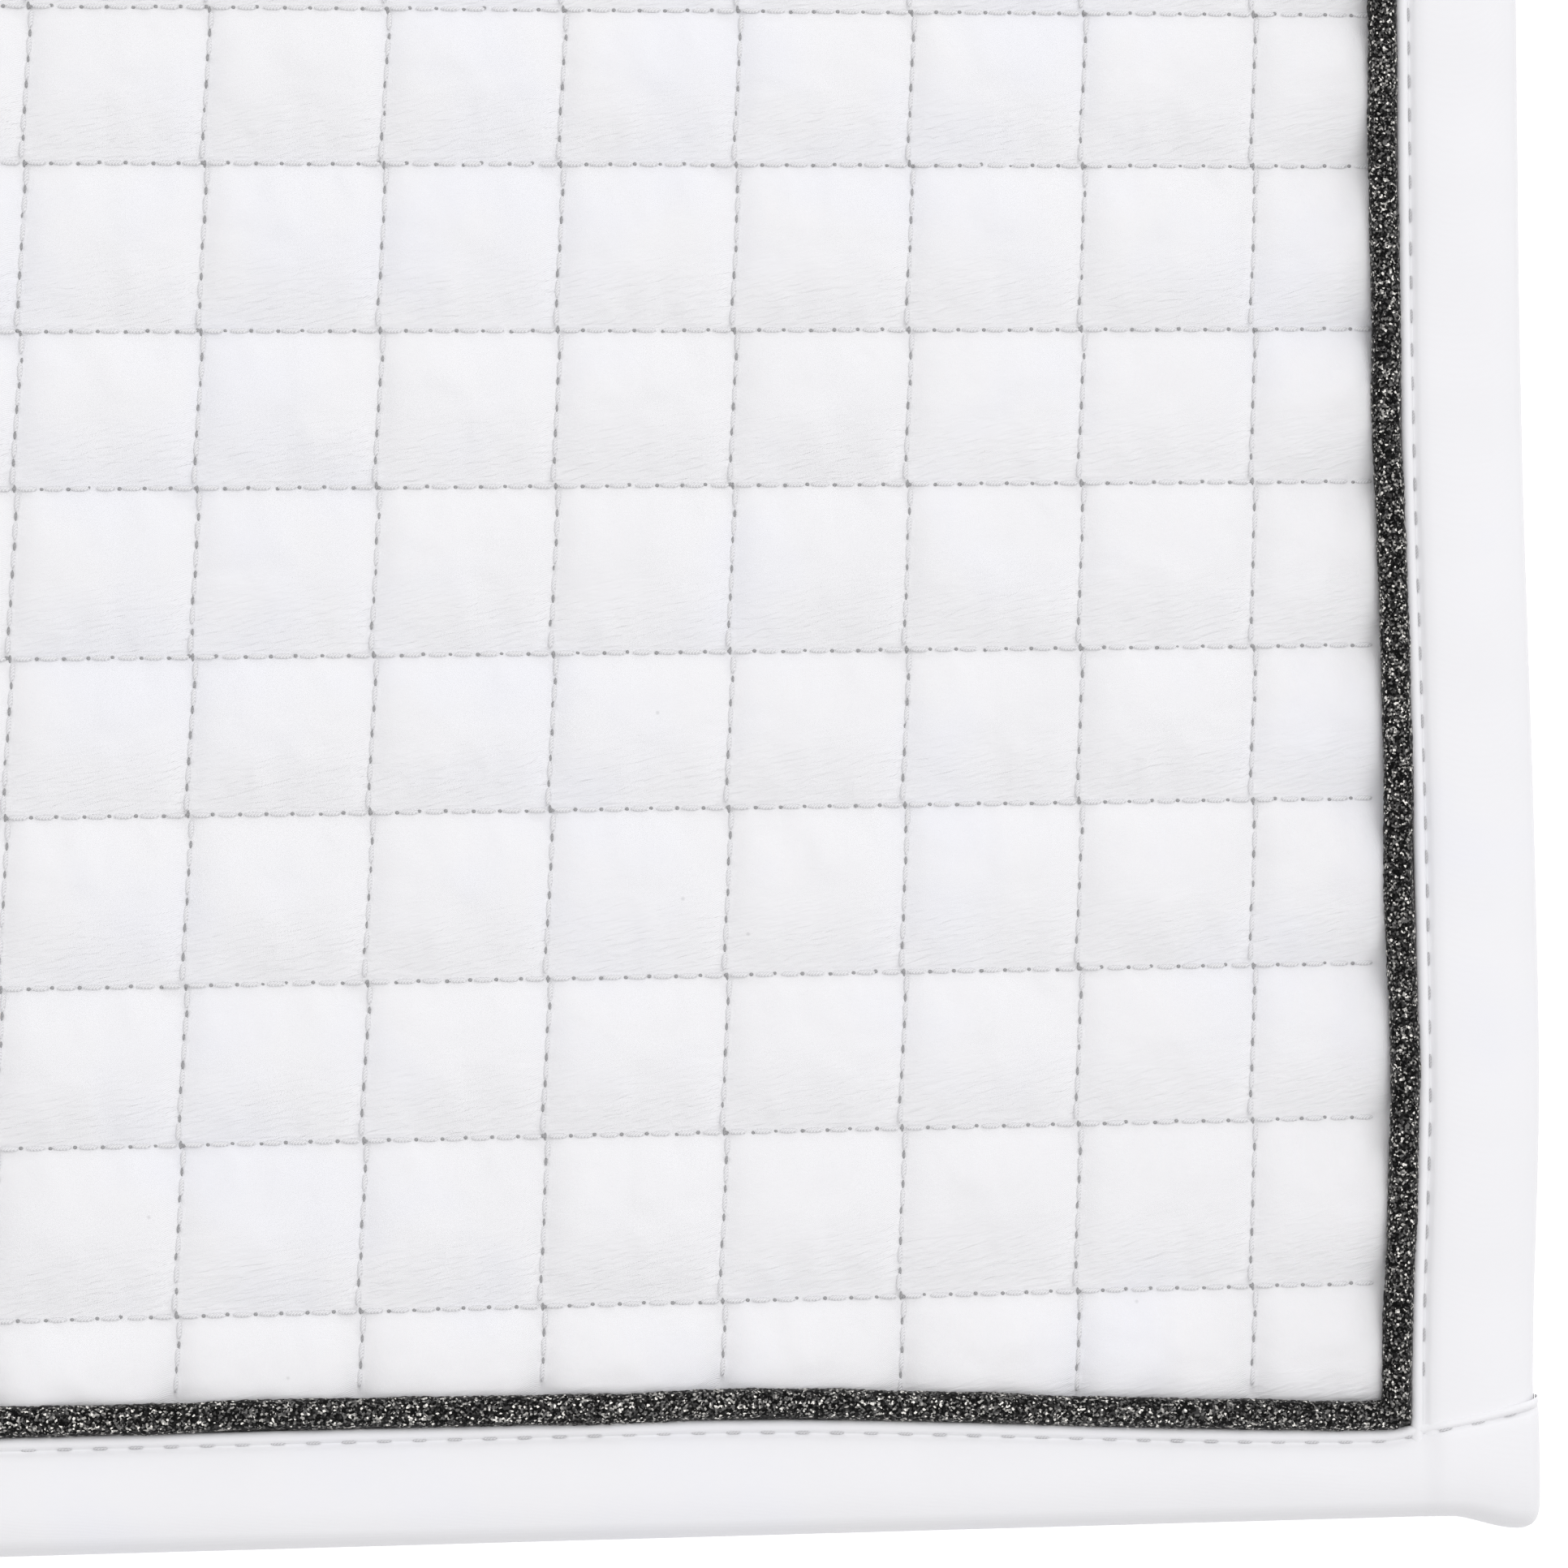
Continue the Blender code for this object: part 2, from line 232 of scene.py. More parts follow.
def over_ridge(x, turn, w):
    """Points on the ridge, turn radians from upright towards the off side."""
    x, turn, w = np.broadcast_arrays(*(np.asarray(c, float) for c in (x, turn, w)))
    return np.stack([x, w * np.sin(turn), FOLD_Z + w * np.cos(turn)], axis=-1)


def ripple(t, wavelength, seed):
    """A smooth random wave of about unit height."""
    phases = np.random.default_rng(seed).uniform(0, 2 * math.pi, 4)
    turns = 2 * math.pi * np.asarray(t) / wavelength
    parts = [np.sin(turns * k + p) for k, p in zip((0.61, 1.0, 1.73, 2.9), phases)]
    return (parts[0] + parts[1] + 0.6 * parts[2] + 0.3 * parts[3]) / 2.0


# ---- meshes

def add_piece(name, points, faces, materials, lay=None, indices=None):
    """A mesh object from points and faces; lay holds the flat-frame place of every point.

    indices holds each face's place in the list of materials.
    """
    mesh = bpy.data.meshes.new(name)
    mesh.from_pydata(np.asarray(points).reshape(-1, 3).tolist(), [], faces)
    mesh.update()
    item = bpy.data.objects.new(name, mesh)
    bpy.context.scene.collection.objects.link(item)
    for material in materials:
        mesh.materials.append(material)
    if indices is not None:
        mesh.polygons.foreach_set("material_index", np.asarray(indices, np.int32))
    if lay is not None:
        attribute = mesh.attributes.new("lay", "FLOAT_VECTOR", "POINT")
        attribute.data.foreach_set("vector", np.asarray(lay, np.float32).ravel())
    mesh.polygons.foreach_set("use_smooth", [True] * len(mesh.polygons))
    mesh.update()
    return item


def grid_faces(rows, columns, wrap=False, start=0):
    """Quads of a grid of points; wrap closes each row on itself."""
    index = start + np.arange(rows * columns).reshape(rows, columns)
    after = np.roll(index, -1, axis=1)
    if not wrap:
        index, after = index[:, :-1], after[:, :-1]
    quads = np.stack([index[:-1], after[:-1], after[1:], index[1:]], axis=-1)
    return quads.reshape(-1, 4)


def faces_out(item):
    """Turns every face of a closed body outwards."""
    bm = bmesh.new()
    bm.from_mesh(item.data)
    bmesh.ops.recalc_face_normals(bm, faces=bm.faces)
    bm.to_mesh(item.data)
    bm.free()
    return item


def swept(name, rings, material, lay):
    """A closed body through rings of equal length, with its two ends capped."""
    rings = np.asarray(rings)
    count, size = rings.shape[:2]
    faces = [tuple(f) for f in grid_faces(count, size, wrap=True)]
    first = list(range(size))
    last = [(count - 1) * size + n for n in first]
    faces += [tuple(reversed(first)), tuple(last)]
    return faces_out(add_piece(name, rings, faces, [material], lay))


def swept_flat(name, side, x, v, w, material):
    """A closed body through rings given in a flap's flat frame."""
    x, v, w = np.broadcast_arrays(x, v, w)
    return swept(name, place(side, x, v, w), material, np.stack([x, v, w], -1))


# ---- bodies and CAD nodes

def on_flap(item, prefix, slot, *nodes):
    """Lets a piece ride its flap and stand for some of the flap's CAD nodes, which are hidden."""
    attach(item, prefix + "_flap")
    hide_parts(*(f"{prefix}_{n}" for n in nodes))


def over_spine(item, slot, *nodes):
    """Bakes the transform of a piece that runs over the fold, from the off flap to the near flap, and
    hides the CAD nodes it stands for.
    """
    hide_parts(*nodes)
    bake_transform(item)


# ---- materials

def new_material(name, **inputs):
    """A material, its node tree and its shader; an underscore in an input's name stands for a space."""
    material = bpy.data.materials.new(name)
    material.use_nodes = True
    shader = material.node_tree.nodes["Principled BSDF"]
    for key, value in inputs.items():
        shader.inputs[key.replace("_", " ")].default_value = value
    return material, material.node_tree, shader


def node(tree, kind, **settings):
    """A shader node with its properties and inputs set."""
    made = tree.nodes.new("ShaderNode" + kind)
    for key, value in settings.items():
        if hasattr(made, key):
            setattr(made, key, value)
        else:
            made.inputs[key.replace("_", " ")].default_value = value
    return made


def pattern(tree, kind, per_metre, turn=0.0, **settings):
    """The outputs of a texture laid on the piece's flat-frame place, per_metre units to the metre."""
    source = node(tree, "Attribute", attribute_name="lay")
    mapping = node(tree, "Mapping", vector_type="TEXTURE", Rotation=(0, 0, turn),
                   Scale=tuple(1 / n for n in per_metre))
    tree.links.new(source.outputs["Vector"], mapping.inputs["Vector"])
    made = node(tree, "Tex" + kind, **{"Scale": 1.0, **settings})
    tree.links.new(mapping.outputs["Vector"], made.inputs["Vector"])
    return made.outputs


def ramp(tree, source, stops, mode="LINEAR"):
    """A colour ramp through stops of (position, colour)."""
    made = node(tree, "ValToRGB")
    made.color_ramp.interpolation = mode
    while len(made.color_ramp.elements) < len(stops):
        made.color_ramp.elements.new(0.5)
    for element, (position, colour) in zip(made.color_ramp.elements, stops):
        element.position = position
        element.color = (*colour, 1.0)
    tree.links.new(source, made.inputs["Fac"])
    return made.outputs["Color"]


def grey(level):
    return (level,) * 3


def math_node(tree, operation, *values):
    """A math node whose inputs are numbers or other nodes' outputs."""
    made = node(tree, "Math", operation=operation)
    for slot, value in zip(made.inputs, values):
        if isinstance(value, (int, float)):
            slot.default_value = value
        else:
            tree.links.new(value, slot)
    return made.outputs["Value"]


def bumped(tree, height, strength, depth, normal=None):
    """A normal raised by height, on top of another normal where one is given."""
    made = node(tree, "Bump", Strength=strength, Distance=depth)
    tree.links.new(height, made.inputs["Height"])
    if normal:
        tree.links.new(normal, made.inputs["Normal"])
    return made.outputs["Normal"]


def wired(made, tone, normal):
    """Wires a new material's shader, and gives the material back."""
    material, tree, shader = made
    tree.links.new(tone, shader.inputs["Base Color"])
    tree.links.new(normal, shader.inputs["Normal"])
    return material


def with_lint(tree, tone, darkness):
    """A tone with small darker specks on it."""
    specks = pattern(tree, "Voronoi", grey(LINT_CELLS), feature="F1")
    fleck = ramp(tree, specks["Distance"],
                 [(0.0, grey(1 - darkness)), (0.010, grey(1 - darkness)), (0.022, grey(1.0))])
    both = node(tree, "Mix", data_type="RGBA", blend_type="MULTIPLY")
    both.inputs["Factor"].default_value = 1.0
    tree.links.new(tone, both.inputs["A"])
    tree.links.new(fleck, both.inputs["B"])
    return both.outputs["Result"]


def with_wrinkles(tree, normal, depth):
    """A normal with fine creases on it, where the skin's pucker attribute asks for them."""
    crease = pattern(tree, "Noise", WRINKLES, WRINKLE_TURN, Detail=2.5, Distortion=0.7)
    mask = node(tree, "Attribute", attribute_name="pucker")
    raised = math_node(tree, "MULTIPLY", crease["Fac"], mask.outputs["Fac"])
    return bumped(tree, raised, 1.0, depth, normal)


def woven(name, colour, thread, depth, roughness, sheen, turn=0.0, tint=0.02, wrinkles=0.0,
          lint=0.0):
    """White cloth: a twill of the given thread pitch, mottled a little in tone."""
    made = new_material(name, Roughness=roughness, Sheen_Weight=sheen, Sheen_Roughness=0.4,
                        Specular_IOR_Level=0.25)
    tree = made[1]
    mottle = pattern(tree, "Noise", grey(MOTTLES), Detail=3.0)
    dark = tuple(c * (1 - tint) for c in colour)
    cool = (colour[0] * 0.985, colour[1] * 0.99, min(colour[2] * 1.01, 1.0))
    tone = ramp(tree, mottle["Fac"], [(0.33, dark), (0.50, colour), (0.67, cool)])
    if lint:
        tone = with_lint(tree, tone, lint)

    threads = grey(1 / thread)
    twill = pattern(tree, "Wave", threads, turn, wave_type="BANDS", bands_direction="DIAGONAL",
                    Distortion=0.6, Detail=1.0)
    grain = pattern(tree, "Noise", threads, turn, Scale=2.2, Detail=2.0)
    height = math_node(tree, "ADD", twill["Fac"], grain["Fac"])
    normal = bumped(tree, height, 0.6, depth)
    if wrinkles:
        normal = with_wrinkles(tree, normal, wrinkles)
    return wired(made, tone, normal)


def glitter():
    """Black lurex cloth: a dense random pile of dark and silver flakes."""
    made = new_material("glitter_cloth", Metallic=0.4, Specular_IOR_Level=0.08)
    _, tree, shader = made
    flakes = pattern(tree, "Voronoi", grey(FLAKES), feature="F1")
    split = node(tree, "SeparateColor")
    tree.links.new(flakes["Color"], split.inputs["Color"])
    tone = ramp(tree, split.outputs["Red"], [
        (0.00, (0.003, 0.003, 0.003)),
        (0.34, (0.014, 0.0137, 0.0134)),
        (0.56, (0.048, 0.047, 0.046)),
        (0.73, (0.14, 0.138, 0.133)),
        (0.87, (0.42, 0.41, 0.385)),
        (0.955, (0.85, 0.83, 0.78)),
    ], "CONSTANT")
    rough = ramp(tree, split.outputs["Green"], [(0.0, grey(0.3)), (1.0, grey(0.65))])
    tree.links.new(rough, shader.inputs["Roughness"])
    return wired(made, tone, bumped(tree, split.outputs["Blue"], 0.9, 0.0003))


def spun(name, colour, roughness=0.6):
    """Sewing thread: a tight twist that shows as fine ridges, darker in its grooves as painted shade."""
    made = new_material(name, Roughness=roughness)
    tree = made[1]
    twist = pattern(tree, "Wave", grey(TWISTS), bands_direction="DIAGONAL")
    # darker where the twist's bump is low: painted shade in the grooves
    dark = tuple(c * 0.8 for c in colour)
    tone = ramp(tree, twist["Fac"], [(0.2, dark), (0.7, colour)])
    return wired(made, tone, bumped(tree, twist["Fac"], 0.7, 0.0001))


def fuzzy(name, colour, pitch, depth):
    """Hook or loop tape: a close field of small tufts, darker between them as painted shade."""
    made = new_material(name, Roughness=0.9, Sheen_Weight=0.3)
    tree = made[1]
    tufts = pattern(tree, "Voronoi", grey(1 / pitch), feature="F1")
    # darker between the tufts, where the bump is low: painted shade
    low = tuple(c * 0.72 for c in colour)
    tone = ramp(tree, tufts["Distance"], [(0.1, colour), (0.75, low)])
    height = math_node(tree, "SUBTRACT", 1.0, tufts["Distance"])
    return wired(made, tone, bumped(tree, height, 1.0, depth))


# How many of each to the metre
MOTTLES = 38
LINT_CELLS = 62
WRINKLES = (330, 1500, 1)
WRINKLE_TURN = math.radians(-13)
FLAKES = 3300
TWISTS = 1400

WHITE = (0.915, 0.914, 0.921)
COVER = woven("cover_cloth", WHITE, 0.00042, 0.00005, 0.62, 0.10, wrinkles=0.00022, lint=0.16)
LINING = woven("lining_cloth", (0.88, 0.88, 0.885), 0.0009, 0.00016, 0.85, 0.15)
TAPE = woven("binding_cloth", (0.905, 0.905, 0.915), 0.00030, 0.00002, 0.50, 0.05,
             turn=math.pi / 4, tint=0.01)
WEBBING = woven("webbing_cloth", (0.87, 0.87, 0.88), 0.0012, 0.00035, 0.7, 0.1, turn=math.pi / 3)
GLITTER = glitter()
THREAD = spun("white_thread", (0.92, 0.92, 0.93))
# dark grey pieces set in the needle holes: painted shade of the holes, on white cloth
HOLE_SHADE = spun("needle_hole", (0.42, 0.42, 0.425), 0.95)
# grey binding and hem threads: their grey is painted shade of the stitch holes, the thread itself is white
HOLE_SHADED_EDGE_THREAD = spun("edge_thread", (0.62, 0.62, 0.63))
HOLE_SHADED_HEM_THREAD = spun("pale_thread", (0.76, 0.76, 0.77))
HOOKS = fuzzy("hook_tape", (0.80, 0.80, 0.81), 0.0013, 0.0006)
LOOPS = fuzzy("loop_tape", (0.84, 0.84, 0.85), 0.0008, 0.0004)


# ---- quilting

def quilt_place(a, b):
    """The flat-frame x and v of quilting column a and row b, which needn't be whole numbers."""
    part = b - np.floor(b)
    from_row = np.minimum(part, 1 - part)
    zigzag = np.where(from_row < SLIP, np.sign(0.5 - part) * from_row / SLIP * (0.5 - SLIP), 0.5 - part)
    lean = COLUMN_LEAN + COLUMN_FAN * np.maximum(a, -4)
    x = CROSSING_X + a * PITCH_X + b * lean + ZIGZAG * zigzag
    v = CROSSING_V + a * ROW_RISE + b * PITCH_V - ROW_SHIFT * np.cos(math.pi * b)
    return x, v


def pillow(across, down):
    """One cell's plain puff: full from side to side, and bowed from row to row."""
    full = 1 - np.abs(2 * across - 1) ** 6
    bowed = np.clip(4 * down * (1 - down), 0, 1) ** 0.85
    return full * bowed


def blown_cells():
    """Cloth blown up between pinned seams: each cell's displacement on its own fine grid.

    The last axis is (x, v, height), with heights as shares of the usual crest.
    """
    wide, high = PATCH_CELLS
    nx, ny = FINE_QUADS
    across, down = np.meshgrid(np.arange(wide * nx + 1) / nx, np.arange(high * ny + 1) / ny)
    flat = np.stack([across * PITCH_X, down * PITCH_V, 0.0002 * pillow(across % 1, down % 1)], -1)
    faces = grid_faces(high * ny + 1, wide * nx + 1)
    item = add_piece("cloth_patch", flat, [tuple(f) for f in faces], [])
    seams = (np.arange(wide * nx + 1) % nx == 0)[None, :] | (np.arange(high * ny + 1) % ny == 0)[:, None]
    pins = item.vertex_groups.new(name="seams")
    pins.add(np.flatnonzero(seams.ravel()).tolist(), 1.0, "REPLACE")
    cloth = item.modifiers.new("cloth", "CLOTH")
    settings = cloth.settings
    settings.quality = 5
    settings.mass = 0.15
    settings.tension_stiffness = 15
    settings.compression_stiffness = 15
    settings.shear_stiffness = 5
    settings.bending_stiffness = 4.0
    settings.use_pressure = True
    settings.uniform_pressure_force = 4.0
    settings.shrink_min = -0.02
    settings.vertex_group_mass = "seams"
    settings.effector_weights.gravity = 0
    cloth.collision_settings.use_collision = False
    scene = bpy.context.scene
    for step in range(1, CLOTH_STEPS + 1):
        scene.frame_set(step)
    evaluated = item.evaluated_get(bpy.context.evaluated_depsgraph_get())
    shape = np.zeros(len(item.data.vertices) * 3)
    evaluated.data.vertices.foreach_get("co", shape)
    scene.frame_set(1)
    bpy.data.objects.remove(item, do_unlink=True)
    moved = shape.reshape(flat.shape) - flat
    moved[..., 2] += flat[..., 2]
    crest = np.median([moved[j * ny + ny // 2, i * nx + nx // 2, 2]
                       for j in range(high) for i in range(wide)])
    moved[..., 2] /= crest
    moved[..., :2] = np.clip(moved[..., :2], -CLOTH_SLIP, CLOTH_SLIP)
    cells = np.array([moved[j * ny:(j + 1) * ny + 1, i * nx:(i + 1) * nx + 1]
                      for j in range(high) for i in range(wide)])
    creases = cells[..., 2] - cells[..., 2].mean(axis=0)
    cells[..., 2] = plain_cells()[..., 2] + CREASE * np.clip(creases, -CREASE_LIMIT, CREASE_LIMIT)
    return cells


def plain_cells():
    """Like blown_cells, with a single cell that has no creases."""
    nx, ny = FINE_QUADS
    across, down = np.meshgrid(np.linspace(0, 1, nx + 1), np.linspace(0, 1, ny + 1))
    height = pillow(across, down)
    return np.array([np.stack([0 * height, 0 * height, height], -1)])


CELLS = blown_cells()


def cell_moves(a, b, seed):
    """Each point's displacement, from a cell picked at random and mirrored at random."""
    draw = np.random.default_rng(seed)
    size = (ROWS[1] - ROWS[0] + 1, COLUMNS[1] - COLUMNS[0] + 1)
    pick = draw.integers(0, len(CELLS), size)
    mirror = draw.random(size) < 0.5
    vigour = draw.normal(1.0, 0.07, size)
    column = np.clip(np.floor(a + 1e-9).astype(int), COLUMNS[0], COLUMNS[1] - 1)
    row = np.clip(np.floor(b + 1e-9).astype(int), ROWS[0], ROWS[1] - 1)
    at = (row - ROWS[0], column - COLUMNS[0])
    across, down = a - column, b - row
    flipped = mirror[at]
    across = np.where(flipped, 1 - across, across)
    nx, ny = FINE_QUADS
    i, j = np.clip(across * nx, 0, nx), np.clip(down * ny, 0, ny)
    i0, j0 = np.minimum(i.astype(int), nx - 1), np.minimum(j.astype(int), ny - 1)
    fi, fj = (i - i0)[..., None], (j - j0)[..., None]
    cell = pick[at]
    moved = ((CELLS[cell, j0, i0] * (1 - fi) + CELLS[cell, j0, i0 + 1] * fi) * (1 - fj)
             + (CELLS[cell, j0 + 1, i0] * (1 - fi) + CELLS[cell, j0 + 1, i0 + 1] * fi) * fj)
    moved[..., 0] *= np.where(flipped, -1, 1)
    moved[..., 2] *= vigour[at]
    return moved


LOOP_X, LOOP_V, LOOP_HALF, LOOP_TAB, LOOP_WIDTH = -0.080, DROP - 0.085, 0.055, 0.014, 0.022
STRAP_X, STRAP_V, STRAP_W, STRAP_LENGTH, STRAP_WIDTH = -0.205, 0.120, 0.0142, 0.105, 0.025
PATCH_V, ANCHOR_V = STRAP_V + STRAP_LENGTH - 0.027, STRAP_V - 0.015
# What is sewn flat onto a flap: (middle x, middle v, half length, half width)
SEWN_FLAT = [
    (LOOP_X - LOOP_HALF + LOOP_TAB / 2, LOOP_V, LOOP_TAB / 2, LOOP_WIDTH / 2),
    (LOOP_X + LOOP_HALF - LOOP_TAB / 2, LOOP_V, LOOP_TAB / 2, LOOP_WIDTH / 2),
    (STRAP_X, ANCHOR_V, 0.0145, 0.013),
    (STRAP_X, PATCH_V, 0.0115, 0.025),
]


def pressed(x, v):
    """1 where something is sewn flat on the cover, falling to 0 beside it."""
    share = np.zeros(np.shape(x))
    for mid_x, mid_v, half_x, half_v in SEWN_FLAT:
        beyond = np.maximum(np.abs(x - mid_x) - half_x, np.abs(v - mid_v) - half_v)
        share = np.maximum(share, 1 - smooth((beyond + 0.001) / 0.006))
    return share


def from_lips(x, v):
    """How far a point lies in from the nearest binding's lip."""
    sides = np.minimum(rear_edge(v) - x, x - front_edge(v)) - SIDE_WIDTH
    return np.minimum(sides, HEM - v - BINDING_WIDTH + narrowing(x))


def puff_share(x, v, outer):
    """How much of its full height the quilting has: none under the piping, the tape and patches."""
    clear, rise = COVER_CLEAR if outer else LINING_CLEAR
    rim = smooth((from_lips(x, v) - clear) / rise)
    spine = smooth((v - TAPE_REACH + 0.002) / 0.012)
    share = rim * spine
    return share * (1 - pressed(x, v)) if outer else share


def seam_level(v, outer):
    """How far out the seams of the cover or the lining lie."""
    if outer:
        return COVER_SEAM - shoulder(v, COVER_SEAM_DROP)
    return LINING_SEAM - shoulder(v, LINING_SEAM_DROP)


def quilt_axis(span, coarse, fine, fine_from):
    """Where the grid lines of a skin run, in cells: fine ones from a given cell onwards."""
    split = span[1] if fine_from is None else fine_from
    lines = [np.arange(span[0] * coarse, split * coarse) / coarse]
    if fine_from is not None:
        lines.append(np.arange(split * fine, span[1] * fine) / fine)
    return np.concatenate(lines + [[span[1]]])


def add_skin(name, side, outer, fine, seed):
    """One quilted skin of a flap with half the filling behind it: a closed padded body."""
    start = FINE_FROM if fine else None
    a = quilt_axis(COLUMNS, COARSE_QUADS[0], FINE_QUADS[0], start)
    b = quilt_axis(ROWS, COARSE_QUADS[1], FINE_QUADS[1], start)
    a, b = np.meshgrid(a, b)
    x, v = quilt_place(a, b)
    moved = cell_moves(a, b, seed)
    share = puff_share(x, v, outer)
    pucker = share * smooth((b - np.floor(b + 1e-9) - 0.38) / 0.42)
    x, v = x + moved[..., 0] * share, v + moved[..., 1] * share
    top, bottom = SEAM_OFFSET, HEM - LAYER_INSET
    front, rear = front_edge(v) + LAYER_INSET, rear_edge(v) - LAYER_INSET
    inside = (x > front) & (x < rear) & (v > top) & (v < bottom)
    x, v = np.clip(x, front, rear), np.clip(v, top, bottom)
    bulge = moved[..., 2] * share
    if outer:
        w = seam_level(v, True) + COVER_PUFF * bulge
        w = w + seam_relief(a, b, fine) * share
    else:
        w = seam_level(v, False) - LINING_PUFF * bulge
        held = 1 - smooth((np.minimum(from_lips(x, v), v - TAPE_REACH) - 0.0005) / 0.0035)
        w = w + (LINING_UNDER_TAPE - w) * held
    faces = grid_faces(*a.shape)
    faces = faces[inside.ravel()[faces].any(axis=1)]
    used, faces = np.unique(faces, return_inverse=True)
    faces = faces.reshape(-1, 4)
    x, v, w, pucker = (c.ravel()[used] for c in (x, v, w, pucker))

    edges = np.concatenate([faces[:, [n, (n + 1) % 4]] for n in range(4)])
    key = np.sort(edges, axis=1)
    _, first, counts = np.unique(key, axis=0, return_index=True, return_counts=True)
    rim = edges[first[counts == 1]]
    follow = dict(rim.tolist())
    loop = [int(rim[0, 0])]
    while follow[loop[-1]] != loop[0]:
        loop.append(follow[loop[-1]])
    behind = np.arange(len(loop)) + len(used)
    if outer:
        back_w = np.minimum(w[loop] - 0.0008, MIDDLE)
    else:
        back_w = np.maximum(w[loop] + 0.0006, MIDDLE - 0.0006)
    after = np.roll(loop, -1)
    walls = np.stack([after, loop, behind, np.roll(behind, -1)], axis=-1)
    x, v = np.append(x, x[loop]), np.append(v, v[loop])
    w, pucker = np.append(w, back_w), np.append(pucker, np.zeros(len(loop)))
    polygons = [tuple(f) for f in faces.tolist()] + [tuple(f) for f in walls.tolist()]
    polygons.append(tuple(reversed(behind.tolist())))
    if (side == NEAR) != outer:
        polygons = [tuple(reversed(p)) for p in polygons]
    lay = np.stack([x, v, w], axis=-1)
    item = add_piece(name, place(side, x, v, w), polygons, [COVER if outer else LINING], lay)
    marks = item.data.attributes.new("pucker", "FLOAT", "POINT")
    marks.data.foreach_set("value", pucker.astype(np.float32))
    return faces_out(item)


def seam_relief(a, b, fine):
    """The seams' own height: filled a little with the skin's turn, and pulled down at the needle holes."""
    if not fine:
        return a * 0.0
    on_row = np.abs(b - np.round(b)) < 1e-6
    on_column = np.abs(a - np.round(a)) < 1e-6
    hole_across = np.abs(a * STITCHES_ACROSS - np.round(a * STITCHES_ACROSS)) < 1e-6
    hole_down = np.abs(b * STITCHES_DOWN - np.round(b * STITCHES_DOWN)) < 1e-6
    dips = np.maximum(ROW_DIP * (on_row & hole_across), COLUMN_DIP * (on_column & hole_down))
    return (SEAM_FILL * (on_row | on_column) - dips) * ((a >= FINE_FROM) & (b >= FINE_FROM))


# ---- stitches

def spindle(sides, rings):
    """A closed spindle along +X with unit half length and unit radius, as points and faces."""
    turn = np.arange(sides) * 2 * math.pi / sides
    points, faces = [(-1.0, 0.0, 0.0)], []
    for along, radius in rings:
        points += [(along, radius * math.cos(t), radius * math.sin(t)) for t in turn]
    points.append((1.0, 0.0, 0.0))
    last = len(points) - 1
    for n in range(sides):
        m = (n + 1) % sides
        faces.append((0, 1 + m, 1 + n))
        for r in range(len(rings) - 1):
            low = 1 + r * sides
            faces.append((low + n, low + m, low + sides + m, low + sides + n))
        low = 1 + (len(rings) - 1) * sides
        faces.append((low + n, low + m, last))
    return np.array(points), faces


FINE_THREAD = spindle(6, [(-0.86, 0.6), (-0.45, 0.98), (0.45, 0.98), (0.86, 0.6)])
# the shape of the dark pieces painted as shade in the needle holes
FINE_HOLE_SHADE = spindle(8, [(-0.85, 0.53), (-0.4, 0.92), (0.4, 0.92), (0.85, 0.53)])
CHEAP = spindle(4, [(-0.55, 0.85), (0.55, 0.85)])


def stamped(name, side, groups, materials):
    """Many copies of small shapes, as one piece.

    A group is (shape, x, v, w, direction angle in the flat frame, half sizes, material index).
    """
    points, faces, indices, lays, start = [], [], [], [], 0
    for (shape, polygons), x, v, w, angle, half, index in groups:
        if not len(x):
            continue
        along = shape[None, :, 0] * half[0]
        beside = shape[None, :, 1] * half[1]
        cos, sin = np.cos(angle)[:, None], np.sin(angle)[:, None]
        px = x[:, None] + along * cos - beside * sin
        pv = v[:, None] + along * sin + beside * cos
        pw = w[:, None] + shape[None, :, 2] * half[2]
        points.append(place(side, px, pv, pw).reshape(-1, 3))
        lays.append(np.stack([px, pv, pw], -1).reshape(-1, 3))
        for n in range(len(x)):
            offset = start + n * len(shape)
            faces += [tuple(offset + i for i in f) for f in polygons]
        indices += [index] * (len(x) * len(polygons))
        start += len(x) * len(shape)
    item = add_piece(name, np.concatenate(points), faces, materials,
                     np.concatenate(lays), indices=indices)
    return faces_out(item)


def seam_stations():
    """Every stitch of the quilting: (a, b, runs down the flap) at its needle hole."""
    a_row, b_row = np.meshgrid(np.arange(COLUMNS[0] * STITCHES_ACROSS, COLUMNS[1] * STITCHES_ACROSS)
                               / STITCHES_ACROSS, np.arange(ROWS[0], ROWS[1] + 1.0))
    a_column, b_column = np.meshgrid(np.arange(COLUMNS[0], COLUMNS[1] + 1.0),
                                     np.arange(ROWS[0] * STITCHES_DOWN, ROWS[1] * STITCHES_DOWN)
                                     / STITCHES_DOWN)
    a = np.concatenate([a_row.ravel(), a_column.ravel()])
    b = np.concatenate([b_row.ravel(), b_column.ravel()])
    down = np.concatenate([np.zeros(a_row.size, bool), np.ones(a_column.size, bool)])
    return a, b, down


